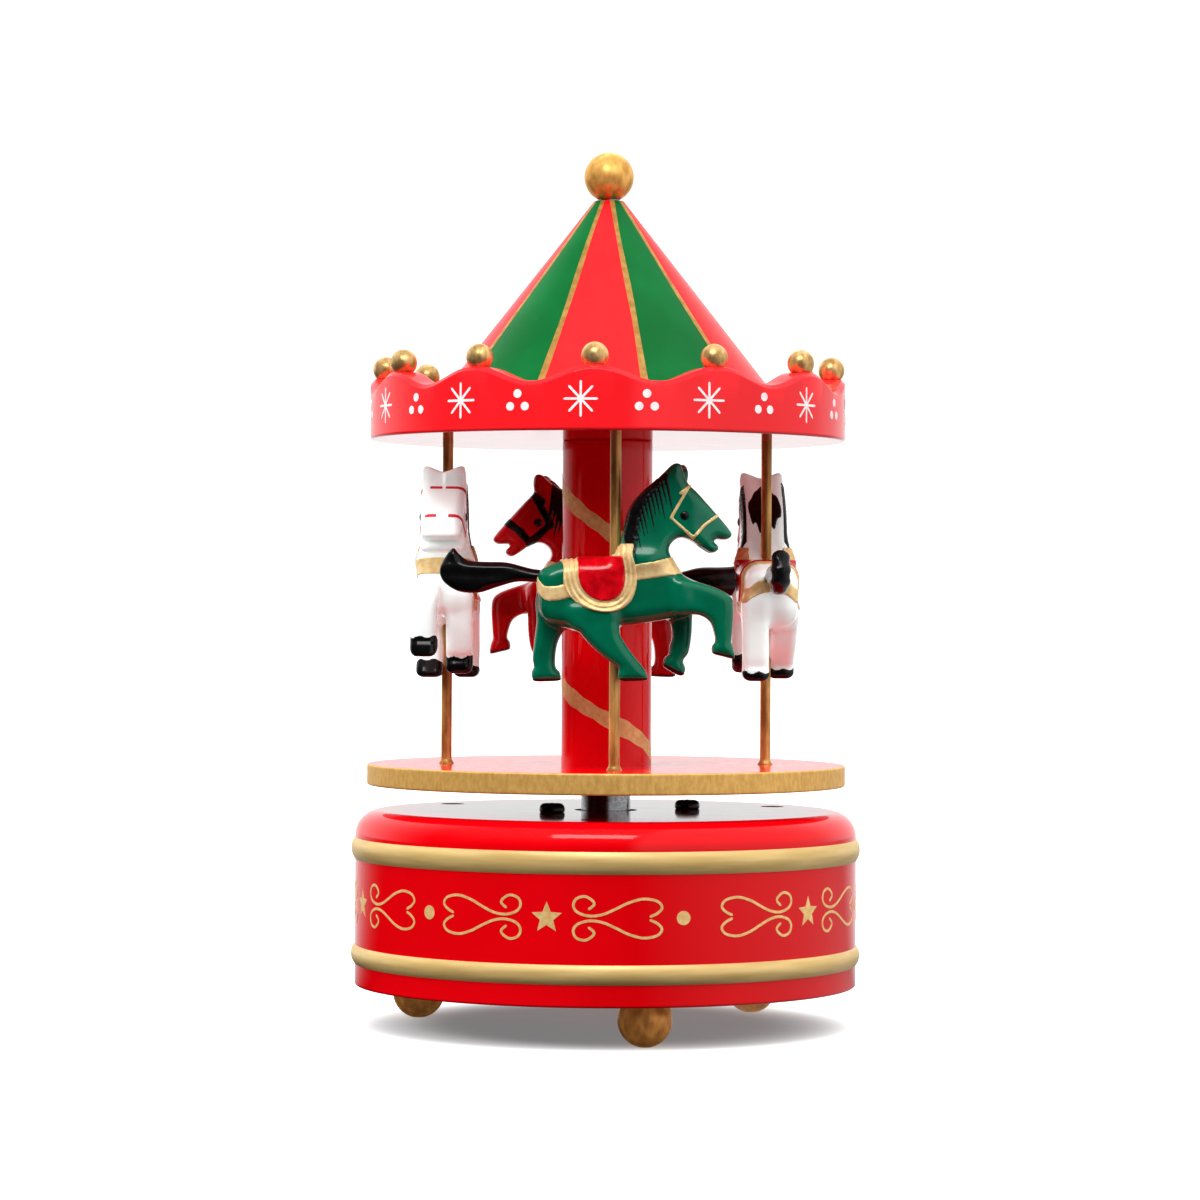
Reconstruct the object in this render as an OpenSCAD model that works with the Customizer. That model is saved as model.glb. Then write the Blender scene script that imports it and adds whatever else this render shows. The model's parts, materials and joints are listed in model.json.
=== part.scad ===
// Wind-up carousel music box: a round base with the movement inside, and a turning top with four
// horses on poles under a scalloped canopy. Millimetres, +Z up, origin on the ground at the centre.

/* [Base] */
// Outer diameter of the base wall, without its raised bands
base_d = 100; // [100:0.5:106]
// Height of the base shell, from its lower rim to its flat top
base_h = 34.6; // [34.5:0.1:36]
// Thickness of the base shell's wall
base_wall = 3; // [2.5:0.1:3.2]
// Diameter of the ball feet
foot_d = 10.5; // [10.3:0.1:11]

/* [Turntable] */
// Diameter of the platform that carries the poles
platform_d = 95.4; // [92:0.2:98]
// Thickness of the platform
platform_t = 4.15; // [4.05:0.1:5]
// Air gap between the base and the platform
platform_gap = 5.05; // [4.85:0.1:6]
// Diameter of the centre column
column_d = 18; // [16:0.5:20]
// Visible length of the column and of the poles
column_h = 64.5; // [62:0.5:70]
// Diameter of the circle on which the poles stand
pole_circle_d = 63.8; // [62:0.2:66]
// Diameter of a pole
pole_d = 2.1; // [2:0.05:2.4]

/* [Canopy] */
// Outer diameter of the scalloped ring
canopy_d = 94.8; // [92:0.2:98]
// Height of the ring at its crests
ring_h = 12.4; // [12:0.1:14]
// How far the valleys of the ring lie below its crests
scallop_depth = 3; // [2:0.1:3.5]
// Number of scallops, each with a bead on its crest
scallops = 12; // [8:1:16]
// Slope of the roof: rise for each millimetre of radius
roof_slope = 1.277; // [1.2:0.01:1.35]
// Diameter of the ball on the roof
finial_d = 9.9; // [9:0.1:11]
// Diameter of the beads on the ring
bead_d = 5.2; // [4.6:0.1:5.6]

/* [Movement] */
// Diameter of the pinned cylinder
cylinder_d = 12; // [11.6:0.1:12]
// Number of notes on the comb
notes = 18; // [15:1:20]
// Diameter of the winding arbor and of the tie rod above it
arbor_d = 4; // [3.8:0.05:4.1]

/* [Hidden] */

$fn = 64;
cut = 1;              // how far a cutting tool stands out of what it cuts
fit = 0.02;           // radial play of a part pressed or screwed into another
running = 0.05;       // radial play of a shaft in its bearing

// Base
base_r = base_d / 2;
base_z = 8.3;
top_z = base_z + base_h;
top_wall = 2.6;
ceiling_z = top_z - top_wall;
shoulder_r = 5;
band_bulge = 0.7;
lower_band_z = base_z + 6.15;
lower_band_h = 3.7;
upper_band_z = top_z - 7.5;
upper_band_h = 4.2;
hub_hole_r = 6;
plate_t = 3;
plate_r = base_r - base_wall - 0.3;
plate_top_z = base_z + plate_t;
boss_circle_r = 37.9;
boss_angle = 26.2;
boss_r = 4;
boss_end_z = 18;
counterbore_r = 2.4;
counterbore_z = 20;
screw_r = 1.1;
screw_clear_r = 1.3;
foot_circle_r = 40;
foot_angles = [-79, 41, 161];
foot_flat = 0.15;
foot_z = foot_d / 2 - foot_flat;

// Turning top
platform_z = top_z + platform_gap;
deck_z = platform_z + platform_t;
pole_phase = 2.8;
hub_r = 4.95;
hub_z = ceiling_z + 0.4;
arbor_r = arbor_d / 2;
ring_z = deck_z + column_h;
ring_r = canopy_d / 2;
ring_wall = 5.6;
ring_top_z = ring_z + ring_h;
deck_t = 2.8;
scallop_phase = -3.2;
roof_tip_r = 2.9;
roof_wall = 2.8;
roof_z = ring_z + deck_t;
roof_r = ring_r - ring_wall - 3.5;
roof_top_z = roof_z + (roof_r - roof_tip_r) * roof_slope;
pole_depth = 2;

// Movement: its own frame is turned about the arbor, with the cylinder's shaft along +X
movement_angle = -30;
bed_t = 1.8;
bed_z = ceiling_z - bed_t;
bed_r = 21.5;
mount_screws = [[-3.97, -14.31], [11, 13.74], [-7.04, 13.24]];
pillar_r = 2.2;
pillar_circle_r = 19;
pillar_angles = [90, 180, 270];
housing_r = 12.2;
housing_wall = 0.8;
housing_z = bed_z - 17.4;
housing_top_z = bed_z - 3.8;
bracket_t = 0.8;
tab_w = 3;
inner_bracket_x = 16.3;
train_bracket_x = 35.2;
idler_bracket_x = 38.6;
inner_tab_y = -1.5;
train_tab_y = 0.5;
idler_tab_y = 5.5;
comb_rest_y = -25;    // far edge of the comb and of the block it is screwed to
comb_rest_w = 7;
comb_screw_x = [20.5, 30];
comb_screw_y = -21.5;
comb_t = 1;

// Gear stages: crown wheel and pinion, cylinder wheel and idler pinion, worm wheel and worm
crown_teeth = 48;
crown_pinion_teeth = 12;
crown_module = 0.6;
cylinder_wheel_teeth = 36;
idler_pinion_teeth = 9;
train_module = 0.35;
worm_wheel_teeth = 20;
worm_starts = 2;
worm_module = 0.4;
tooth_share = 0.7;    // tooth thickness as a share of half the pitch, for free running
pressure_angle = 20;

crown_z = bed_z - 3.55;                                     // pitch plane of the crown wheel
shaft_z = crown_z - crown_module * crown_pinion_teeth / 2;   // axis of the cylinder
cylinder_r = cylinder_d / 2;
cylinder_x = 17.6;
cylinder_l = 15.6;
note_pitch = (cylinder_l - 0.6) / notes;
train_x = 33.6;
train_t = 1;
stage_distance = train_module * (cylinder_wheel_teeth + idler_pinion_teeth) / 2;
idler_y = 7;
idler_z = shaft_z - sqrt(stage_distance * stage_distance - idler_y * idler_y);
worm_x = 37.2;
worm_r = 2;
worm_y = idler_y + worm_module * worm_wheel_teeth / 2 + worm_r;
shaft_r = 0.9;
idler_r = 0.6;
staff_r = 0.5;
fan_z = idler_z - 10.5;

// ---------------------------------------------------------------- shared shapes

function on_circle(r, a) = [r * cos(a), r * sin(a), 0];

function arc(cx, cy, r, from, to, steps) =
    [for (i = [0:steps]) let (a = from + (to - from) * i / steps) [cx + r * cos(a), cy + r * sin(a)]];

// Bulge of a band on a wall at radius r: a shallow arc, drawn from its lower edge up
function band(r, z, h, steps) =
    let (R = (h * h / 4 + band_bulge * band_bulge) / (2 * band_bulge), half = asin(h / 2 / R))
    arc(r + band_bulge - R, z, R, -half, half, steps);

// Closed Catmull-Rom curve through the points p
function between(a, b, c, d, t) =
    0.5 * (2 * b + (c - a) * t + (2 * a - 5 * b + 4 * c - d) * t * t + (3 * b - a - 3 * c + d) * t * t * t);

function smooth_loop(p, steps) =
    let (n = len(p))
    [for (i = [0:n - 1]) for (s = [0:steps - 1])
        between(p[(i + n - 1) % n], p[i], p[(i + 1) % n], p[(i + 2) % n], s / steps)];

// Outline of a spur gear with straight-sided teeth
function gear_outline(teeth, module_mm) =
    let (rp = teeth * module_mm / 2, ra = rp + 0.9 * module_mm, rr = rp - 1.25 * module_mm,
         half = PI * module_mm / 4 * tooth_share,
         tip = half - (ra - rp) * tan(pressure_angle), root = half + (rp - rr) * tan(pressure_angle))
    [for (i = [0:teeth - 1])
        for (q = [[rr, -root / rr], [ra, -tip / ra], [ra, tip / ra], [rr, root / rr]])
            let (a = 360 * i / teeth + q[1] * 180 / PI) [q[0] * cos(a), q[0] * sin(a)]];

module rod(r, from, to) {
    translate([0, 0, from]) cylinder(r = r, h = to - from);
}

module rod_x(r, from, to) {
    translate([from, 0, 0]) rotate([0, 90, 0]) cylinder(r = r, h = to - from);
}

module in_movement() {
    rotate([0, 0, movement_angle]) children();
}

module at_cylinder() {
    in_movement() translate([0, 0, shaft_z]) children();
}

module at_idler() {
    in_movement() translate([0, idler_y, idler_z]) children();
}

module at_governor() {
    in_movement() translate([worm_x, worm_y, 0]) children();
}

module pan_screw(head_r, head_h, length) {
    rod(screw_r, -length, 0);
    rod(head_r, 0, head_h);
}

// ---------------------------------------------------------------- base

module at_bosses() {
    for (k = [0:2]) translate(on_circle(boss_circle_r, boss_angle + 120 * k)) children();
}

module base_shell() {
    inner_r = base_r - base_wall;
    inner_round = 3;
    color("red") difference() {
        union() {
            rotate_extrude() polygon(concat(
                [[base_r, base_z]],
                band(base_r, lower_band_z, lower_band_h, 8),
                band(base_r, upper_band_z, upper_band_h, 8),
                arc(base_r - shoulder_r, top_z - shoulder_r, shoulder_r, 6, 90, 12),
                [[hub_hole_r, top_z], [hub_hole_r, ceiling_z]],
                arc(inner_r - inner_round, ceiling_z - inner_round, inner_round, 90, 0, 6),
                [[inner_r, base_z]]));
            at_bosses() rod(boss_r, boss_end_z, ceiling_z + cut);
        }
        at_bosses() rod(counterbore_r, counterbore_z, top_z + cut);
        at_bosses() rod(screw_clear_r, boss_end_z - cut, counterbore_z + cut);
        in_movement() for (p = mount_screws) translate(p) rod(screw_clear_r, ceiling_z - cut, top_z + cut);
    }
}

module bottom_plate() {
    post_r = 3.5;
    color("firebrick") difference() {
        union() {
            rod(plate_r, base_z, plate_top_z);
            at_bosses() rod(post_r, plate_top_z - cut, boss_end_z - 0.1);
        }
        at_bosses() rod(screw_r + fit, plate_top_z, boss_end_z + cut);
        for (a = foot_angles) translate(on_circle(foot_circle_r, a))
            rod(screw_clear_r, base_z - cut, plate_top_z + cut);
    }
}

module foot(a) {
    color("goldenrod") translate(on_circle(foot_circle_r, a)) difference() {
        intersection() {
            translate([0, 0, foot_z]) sphere(d = foot_d);
            rod(foot_d, 0, base_z);
        }
        rod(screw_r + fit, 3, base_z + cut);
    }
}

module foot_screws() {
    color("silver") for (a = foot_angles) translate(on_circle(foot_circle_r, a))
        translate([0, 0, plate_top_z]) pan_screw(2.4, 1.6, plate_top_z - 3.2);
}

module case_screws() {
    color("silver") at_bosses() translate([0, 0, counterbore_z]) pan_screw(2.2, 1.6, 7);
}

module movement_screws() {
    head_r = 2.5;
    head_h = 1.8;
    dome = 1.1;
    lip = 0.35;
    color("black") in_movement() for (p = mount_screws) translate([p[0], p[1], top_z]) difference() {
        union() {
            rod(screw_r, -top_wall - bed_t, 0);
            rotate_extrude() polygon(concat(
                [[0, 0]],
                arc(head_r - lip, lip, lip, -90, 0, 3),
                arc(head_r - dome, head_h - dome, dome, 0, 90, 6),
                [[0, head_h]]));
        }
        for (a = [30, 120]) rotate([0, 0, a]) translate([-1.3, -0.3, head_h - 0.9]) cube([2.6, 0.6, 2]);
    }
}

// ---------------------------------------------------------------- movement frame

module bedplate() {
    edge_r = 44;
    bed_end_x = 41;
    bed_side_y = -26;
    bed_w = 43;
    block_x = 16.8;
    block_l = 17;
    comb_top_z = shaft_z + comb_t / 2;
    bracket_slots = [[inner_bracket_x, inner_tab_y], [train_bracket_x, train_tab_y],
        [idler_bracket_x, idler_tab_y]];
    color("lightgray") difference() {
        union() {
            in_movement() intersection() {
                union() {
                    rod(bed_r, bed_z, ceiling_z);
                    translate([0, bed_side_y, bed_z]) cube([bed_end_x, bed_w, bed_t]);
                }
                rod(edge_r, bed_z - cut, ceiling_z + cut);
            }
            in_movement() for (a = pillar_angles) translate(on_circle(pillar_circle_r, a))
                rod(pillar_r, housing_z + 1.2, bed_z + bed_t / 2);
            in_movement() translate([block_x, comb_rest_y, comb_top_z])
                cube([block_l, comb_rest_w - 0.3, bed_z + bed_t / 2 - comb_top_z]);
        }
        rod(3.5 + fit, bed_z - cut, ceiling_z + cut);
        in_movement() {
            for (p = mount_screws) translate(p) rod(screw_r + fit, bed_z - cut, ceiling_z + cut);
            for (a = pillar_angles) translate(on_circle(pillar_circle_r, a))
                rod(screw_r + fit, housing_z, housing_z + 8);
            for (x = comb_screw_x) translate([x, comb_screw_y, 0])
                rod(screw_r + fit, shaft_z - cut, shaft_z + 6);
            for (p = bracket_slots) translate([p[0] - fit, p[1] - fit, bed_z - cut])
                cube([bracket_t + 2 * fit, tab_w + 2 * fit, bed_t + 2 * cut]);
            translate([worm_x, worm_y, 0]) rod(screw_r + fit, bed_z - cut, ceiling_z + cut);
        }
    }
}

module arbor_bush() {
    color("darkgoldenrod") difference() {
        union() {
            rod(3.5, bed_z - 0.5, ceiling_z);
            rod(4.6, bed_z - 1, bed_z);
        }
        rod(arbor_r + running, bed_z - 3, top_z);
    }
}

module spring_housing() {
    floor_t = 1;
    ear_t = 1.2;
    color("gainsboro") difference() {
        union() {
            rod(housing_r, housing_z, housing_top_z);
            in_movement() for (a = pillar_angles) rotate([0, 0, a]) translate([0, -2.6, housing_z])
                cube([pillar_circle_r + 2.4, 5.2, ear_t]);
        }
        rod(housing_r - housing_wall, housing_z + floor_t, housing_top_z + cut);
        rod(arbor_r + running, housing_z - cut, housing_z + floor_t + cut);
        in_movement() for (a = pillar_angles) translate(on_circle(pillar_circle_r, a))
            rod(screw_clear_r, housing_z - cut, housing_z + ear_t + cut);
    }
}

module housing_screws() {
    color("silver") in_movement() for (a = pillar_angles) translate(on_circle(pillar_circle_r, a))
        translate([0, 0, housing_z]) mirror([0, 0, 1]) pan_screw(2, 1.2, 7);
}

// Flat spiral strip made of half circles whose centres step from side to side as it grows
module mainspring() {
    strip = 0.35;
    strip_z = housing_z + 1.4;
    strip_top_z = housing_top_z - 1.4;
    first_r = 3.9;
    step = 0.5;
    halves = 14;
    color("steelblue") in_movement() for (i = [0:halves - 1]) {
        r = first_r + i * step;
        side = i % 2;
        translate([side * step, 0, strip_z]) rotate([0, 0, 180 * side])
            rotate_extrude(angle = 180) translate([r, 0]) square([strip, strip_top_z - strip_z]);
    }
}

// ---------------------------------------------------------------- comb

module comb() {
    tip_y = -cylinder_r - 0.75;
    slot_w = 0.25;
    root_near = -14;
    root_far = -17.5;
    first_x = cylinder_x + 0.3;
    last_x = first_x + notes * note_pitch;
    rest_x = 17;
    rest_end_x = 33.8;
    rest_y = comb_rest_y + comb_rest_w;
    color("slategray") in_movement() translate([0, 0, shaft_z - comb_t / 2]) difference() {
        linear_extrude(comb_t) polygon([
            [first_x, tip_y], [last_x, tip_y], [last_x, rest_y], [rest_end_x, rest_y],
            [rest_end_x, comb_rest_y], [rest_x, comb_rest_y], [rest_x, rest_y], [first_x, rest_y]]);
        for (k = [1:notes - 1]) {
            root_y = root_near + (root_far - root_near) * (1 - k / notes);
            translate([first_x + k * note_pitch - slot_w / 2, root_y, -cut])
                cube([slot_w, tip_y - root_y + cut, comb_t + 2 * cut]);
        }
        for (x = comb_screw_x) translate([x, comb_screw_y, 0]) rod(screw_clear_r, -cut, comb_t + cut);
    }
}

module comb_screws() {
    color("silver") in_movement() for (x = comb_screw_x) translate([x, comb_screw_y, shaft_z - comb_t / 2])
        mirror([0, 0, 1]) pan_screw(2.1, 1.3, 6);
}

// ---------------------------------------------------------------- brackets

module bracket(x, y, w, bottom_z, tab_y) {
    translate([x, y, bottom_z]) cube([bracket_t, w, bed_z - bottom_z]);
    translate([x, tab_y, bed_z - 0.5]) cube([bracket_t, tab_w, bed_t + 0.5]);
}

module at_bracket(x) {
    translate([x, 0, 0]) children();
}

module bearing(r) {
    rod_x(r + running, -cut, bracket_t + cut);
}

module inner_bracket() {
    color("silver") in_movement() difference() {
        bracket(inner_bracket_x, -3.2, 6.4, shaft_z - 2.8, inner_tab_y);
        at_bracket(inner_bracket_x) translate([0, 0, shaft_z]) bearing(shaft_r);
    }
}

module train_bracket() {
    color("silver") in_movement() difference() {
        bracket(train_bracket_x, -3.2, 12, idler_z - 2.6, train_tab_y);
        at_bracket(train_bracket_x) {
            translate([0, 0, shaft_z]) bearing(shaft_r);
            translate([0, idler_y, idler_z]) bearing(idler_r);
        }
    }
}

module idler_bracket() {
    color("silver") in_movement() difference() {
        bracket(idler_bracket_x, 4.4, 5.4, idler_z - 2.6, idler_tab_y);
        at_bracket(idler_bracket_x) translate([0, idler_y, idler_z]) bearing(idler_r);
    }
}

module governor_frame() {
    wall_y = 5.6;
    arm_h = 1;
    half_w = 3;
    top_arm_z = bed_z - 5.2;
    low_arm_z = fan_z - 4;
    color("lightgray") at_governor() difference() {
        union() {
            translate([-half_w, wall_y, low_arm_z]) cube([2 * half_w, 0.8, bed_z - low_arm_z]);
            translate([-half_w, -2.4, bed_z - 1.2]) cube([2 * half_w, wall_y + 3.2, 1.2]);
            translate([-1.5, -1.5, top_arm_z]) cube([3, wall_y + 2.3, arm_h]);
            translate([-1.5, -1.5, low_arm_z]) cube([3, wall_y + 2.3, arm_h]);
        }
        rod(staff_r + running, low_arm_z - cut, top_arm_z + arm_h + cut);
        rod(screw_clear_r, bed_z - 2, bed_z + cut);
    }
}

module governor_screw() {
    color("silver") at_governor() translate([0, 0, bed_z - 1.2]) mirror([0, 0, 1]) pan_screw(1.9, 1.2, 2.7);
}

// ---------------------------------------------------------------- cylinder and train

module cylinder_drum() {
    pin_r = 0.2;
    pin_h = 0.55;
    tube_wall = 0.7;
    cap_t = 1;
    pins_per_note = 2;
    turn = 137.5;
    color("gold") at_cylinder() difference() {
        union() {
            rod_x(cylinder_r, cylinder_x, cylinder_x + cylinder_l);
            for (k = [0:notes - 1]) for (j = [0:pins_per_note - 1])
                translate([cylinder_x + 0.3 + (k + 0.5) * note_pitch, 0, 0])
                    rotate([turn * (k * pins_per_note + j), 0, 0])
                    rod(pin_r, cylinder_r - 0.3, cylinder_r + pin_h);
        }
        rod_x(cylinder_r - tube_wall, cylinder_x + cap_t, cylinder_x + cylinder_l - cap_t);
        rod_x(shaft_r + fit, cylinder_x - cut, cylinder_x + cylinder_l + cut);
    }
}

module cylinder_shaft() {
    color("silver") at_cylinder() rod_x(shaft_r, 12.8, 36.4);
}

module cylinder_pinion() {
    color("darkgoldenrod") at_cylinder() difference() {
        union() {
            translate([13.4, 0, 0]) rotate([0, 90, 0])
                linear_extrude(2) polygon(gear_outline(crown_pinion_teeth, crown_module));
            rod_x(2, 15, 16);
        }
        rod_x(shaft_r + fit, 13, 17);
    }
}

module cylinder_wheel() {
    color("darkgoldenrod") at_cylinder() difference() {
        translate([train_x, 0, 0]) rotate([0, 90, 0])
            linear_extrude(train_t) polygon(gear_outline(cylinder_wheel_teeth, train_module));
        rod_x(shaft_r + fit, train_x - cut, train_x + train_t + cut);
    }
}

module idler_shaft() {
    color("silver") at_idler() rod_x(idler_r, 33.2, 39.8);
}

// Turns the pinion so that its gap meets the wheel's tooth. Angles are taken in the plane of a gear
// outline before it is stood up: its X axis then points down and its Y axis stays Y.
function idler_mesh_angle() =
    let (line = atan2(idler_y, shaft_z - idler_z),
         wheel_pitch = 360 / cylinder_wheel_teeth,
         ahead = line - round(line / wheel_pitch) * wheel_pitch)
    line + 180 + 180 / idler_pinion_teeth + ahead * cylinder_wheel_teeth / idler_pinion_teeth;

module idler_pinion() {
    color("darkgoldenrod") at_idler() difference() {
        translate([train_x - 0.2, 0, 0]) rotate([0, 90, 0]) rotate([0, 0, idler_mesh_angle()])
            linear_extrude(train_t + 0.4) polygon(gear_outline(idler_pinion_teeth, train_module));
        rod_x(idler_r + fit, train_x - cut, train_x + train_t + cut);
    }
}

// Teeth lean by the worm's lead angle
module worm_wheel() {
    pitch_r = worm_module * worm_wheel_teeth / 2;
    root_r = pitch_r - 1.25 * worm_module;
    wheel_t = 1.2;
    lead_angle = atan(worm_starts * worm_module / (2 * worm_r));
    half = PI * worm_module / 4 * tooth_share;
    color("darkgoldenrod") at_idler() translate([worm_x, 0, 0]) difference() {
        union() {
            rod_x(root_r, -wheel_t / 2, wheel_t / 2);
            for (i = [0:worm_wheel_teeth - 1]) rotate([360 * i / worm_wheel_teeth, 0, 0])
                translate([0, root_r - 0.3, 0]) rotate([0, -lead_angle, 0]) rotate([-90, 0, 0])
                linear_extrude(1.25 * worm_module + 0.3 + 0.9 * worm_module)
                square([wheel_t, 2 * half], center = true);
        }
        rod_x(idler_r + fit, -cut, cut);
    }
}

// Two-start right-hand thread as a twisted outline around a plain staff. At the wheel's height its
// threads stand along X, so that a gap faces the wheel's tooth.
module governor_worm() {
    lead = PI * worm_module * worm_starts;
    length = 4;
    twist_angle = 360 * length / lead;
    root_r = worm_r - 1.25 * worm_module;
    tip_r = worm_r + 0.9 * worm_module;
    thread = 180 * tooth_share / 2;
    flank = [[root_r, -thread], [tip_r, -thread * 0.55], [tip_r, thread * 0.55], [root_r, thread]];
    color("silver") at_governor() {
        rod(staff_r, fan_z - 5, bed_z - 4);
        translate([0, 0, idler_z - length / 2]) rotate([0, 0, -twist_angle / 2])
            linear_extrude(length, twist = -twist_angle, slices = 32, $fn = 12)
            polygon([for (s = [0:worm_starts - 1]) for (q = concat([[root_r, -90]], flank))
                let (a = 180 * s + q[1]) [q[0] * cos(a), q[0] * sin(a)]]);
    }
}

module governor_fan() {
    blade_r = 5;
    blade_h = 5;
    color("silver") at_governor() translate([0, 0, fan_z]) difference() {
        union() {
            rod(1.2, -blade_h / 2, blade_h / 2);
            translate([-blade_r, -0.2, -blade_h / 2]) cube([2 * blade_r, 0.4, blade_h]);
        }
        rod(staff_r + fit, -blade_h, blade_h);
    }
}

// ---------------------------------------------------------------- arbor

module winding_arbor() {
    color("silver") {
        rod(arbor_r, housing_z - 0.3, top_z + 2.2);
        rod(3.2, housing_z + 1.4, housing_top_z - 1);
    }
}

module drive_wheel() {
    web_z = crown_z + 1.25 * crown_module;
    web_t = 1.4;
    tip_z = crown_z - 0.9 * crown_module;
    outer_r = 15.8;
    half = PI * crown_module / 4 * tooth_share;
    tip = half - 0.9 * crown_module * tan(pressure_angle);
    root = half + 1.25 * crown_module * tan(pressure_angle);
    tooth = [[-root, web_z + 0.2], [-tip, tip_z], [tip, tip_z], [root, web_z + 0.2]];
    color("darkgoldenrod") difference() {
        union() {
            rod(outer_r, web_z, web_z + web_t);
            rod(3.8, web_z - 2, web_z + cut);
            in_movement() for (i = [0:crown_teeth - 1]) rotate([0, 0, 360 * (i + 0.5) / crown_teeth])
                translate([13.2, 0, 0]) rotate([90, 0, 90]) linear_extrude(2.4) polygon(tooth);
        }
        rod(arbor_r + fit, web_z - 3, web_z + web_t + cut);
    }
}

module clutch_spring() {
    wire_r = 0.35;
    turns = 3;
    first_z = crown_z + 1.25 * crown_module - 1.9 + wire_r;
    color("dimgray") for (i = [0:turns - 1]) translate([0, 0, first_z + i * 0.6])
        rotate_extrude() translate([3.8 + fit + wire_r, 0]) circle(r = wire_r, $fn = 24);
}

module winding_hub() {
    color("darkgray") difference() {
        rod(hub_r, hub_z, platform_z);
        rod(arbor_r + fit, hub_z - cut, platform_z + cut);
    }
}

// ---------------------------------------------------------------- turning top

module at_poles() {
    rotate([0, 0, pole_phase]) for (k = [0:3]) rotate([0, 0, 90 * k])
        translate([0, -pole_circle_d / 2, 0]) children();
}

module platform() {
    color("red") difference() {
        rod(platform_d / 2, platform_z, deck_z);
        rod(arbor_r + running, platform_z - cut, deck_z + cut);
        at_poles() rod(pole_d / 2 + fit, deck_z - pole_depth, deck_z + cut);
    }
}

module column() {
    end_wall = 3;
    tube_wall = 2.5;
    color("red") difference() {
        rod(column_d / 2, deck_z, ring_z);
        rod(column_d / 2 - tube_wall, deck_z + end_wall, ring_z - end_wall);
        rod(arbor_r + running, deck_z - cut, ring_z + cut);
    }
}

module tie_rod() {
    color("silver") rod(arbor_r, top_z + 2.4, roof_top_z + finial_d / 2);
}

module pole(k) {
    foot_h = 0.9;
    foot_r = 1.5;
    color("peru") rotate([0, 0, pole_phase + 90 * k]) translate([0, -pole_circle_d / 2, 0]) {
        rod(pole_d / 2, deck_z - pole_depth + 0.1, ring_z + pole_depth - 0.1);
        translate([0, 0, deck_z]) cylinder(r1 = foot_r, r2 = pole_d / 2 + fit, h = foot_h);
    }
}

// Cuts one valley of the ring's wavy upper edge, unrolled at the ring's middle radius. The wave rises
// a little above the ring, so each crest keeps a small flat for its bead.
module scallop_cutter() {
    mid_r = ring_r - ring_wall / 2;
    lobe = 2 * PI * mid_r / scallops;
    steps = 12;
    rise = 0.1;
    wave = [for (i = [0:steps]) let (t = i / steps)
        [(t - 0.5) * lobe, ring_top_z + rise - (scallop_depth + rise) * (1 - cos(360 * t)) / 2]];
    rotate([90, 0, 90]) translate([0, 0, mid_r - ring_wall]) linear_extrude(2 * ring_wall)
        polygon(concat(wave, [[lobe / 2, ring_top_z + 4], [-lobe / 2, ring_top_z + 4]]));
}

module at_crests() {
    for (k = [0:scallops - 1]) rotate([0, 0, -90 + scallop_phase + 360 * k / scallops]) children();
}

module canopy_ring() {
    crest_r = ring_r - ring_wall / 2;
    color("red") difference() {
        rod(ring_r, ring_z, ring_top_z);
        rod(ring_r - ring_wall, roof_z, ring_top_z + cut);
        at_crests() rotate([0, 0, 180 / scallops]) scallop_cutter();
        at_crests() translate([crest_r, 0, 0]) rod(0.82, ring_top_z - 4, ring_top_z + cut);
        rod(arbor_r + running, ring_z - cut, roof_z + cut);
        at_poles() rod(pole_d / 2 + fit, ring_z - cut, ring_z + pole_depth);
    }
}

module canopy_roof() {
    cavity_top_z = roof_top_z - 8;
    cavity_r = roof_r - roof_wall;
    color("green") difference() {
        translate([0, 0, roof_z]) cylinder(r1 = roof_r, r2 = roof_tip_r, h = roof_top_z - roof_z);
        translate([0, 0, roof_z - cut])
            cylinder(r1 = cavity_r + cut / roof_slope, r2 = cavity_r - (cavity_top_z - roof_z) / roof_slope,
                     h = cavity_top_z - roof_z + cut);
        rod(arbor_r + running, roof_z - cut, roof_top_z + cut);
    }
}

module canopy_beads() {
    bead_sunk = 0.8;
    color("goldenrod") at_crests() translate([ring_r - ring_wall / 2, 0, 0]) {
        difference() {
            translate([0, 0, ring_top_z + bead_d / 2 - bead_sunk]) sphere(d = bead_d);
            rod(bead_d, ring_top_z - bead_d, ring_top_z);
        }
        rod(0.8, ring_top_z - 3.6, ring_top_z + 1);
    }
}

module finial() {
    color("goldenrod") difference() {
        translate([0, 0, roof_top_z + finial_d / 2 - foot_flat]) sphere(d = finial_d);
        rod(finial_d, roof_top_z - finial_d, roof_top_z);
        rod(arbor_r + fit, roof_top_z - cut, roof_top_z + finial_d / 2 + 0.4);
    }
}

// ---------------------------------------------------------------- horses
// Side outlines: x runs forward from the pole, y up from the platform's deck

body_side = [[12.7, 37.7], [10.4, 40.6], [6, 42.6], [0.2, 42.4], [-3.4, 41.2], [-7.2, 41], [-12.5, 39.7],
    [-14.6, 36.8], [-14.6, 32], [-13.4, 28.4], [-8.5, 27], [0.4, 27.6], [6, 28.2], [10.6, 29], [14.6, 30.2],
    [15, 34.4]];
head_side = [[10.2, 40.5], [0.7, 41.6], [1.5, 46], [3, 50.6], [5.6, 54], [8.6, 56.2], [11, 58.6],
    [12.3, 59.2], [13.2, 56], [14.6, 54], [17.6, 51], [21.8, 46], [22.1, 44.9], [19.6, 43.2], [17.9, 42],
    [14.3, 44.3], [11.6, 44.4]];
raised_fore_side = [[12, 36], [19, 35.1], [22, 33.3], [22.4, 28], [22.6, 22.2], [20.6, 21.8], [18.5, 22.8],
    [18.9, 26], [17.6, 29.1], [14.2, 30]];
folded_fore_side = [[10.5, 33], [14.9, 32], [14.9, 26], [14, 22.2], [13.5, 19.6], [12.4, 18.3], [9.7, 20.1],
    [10.5, 23.2], [11.2, 26], [10.4, 29]];
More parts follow.
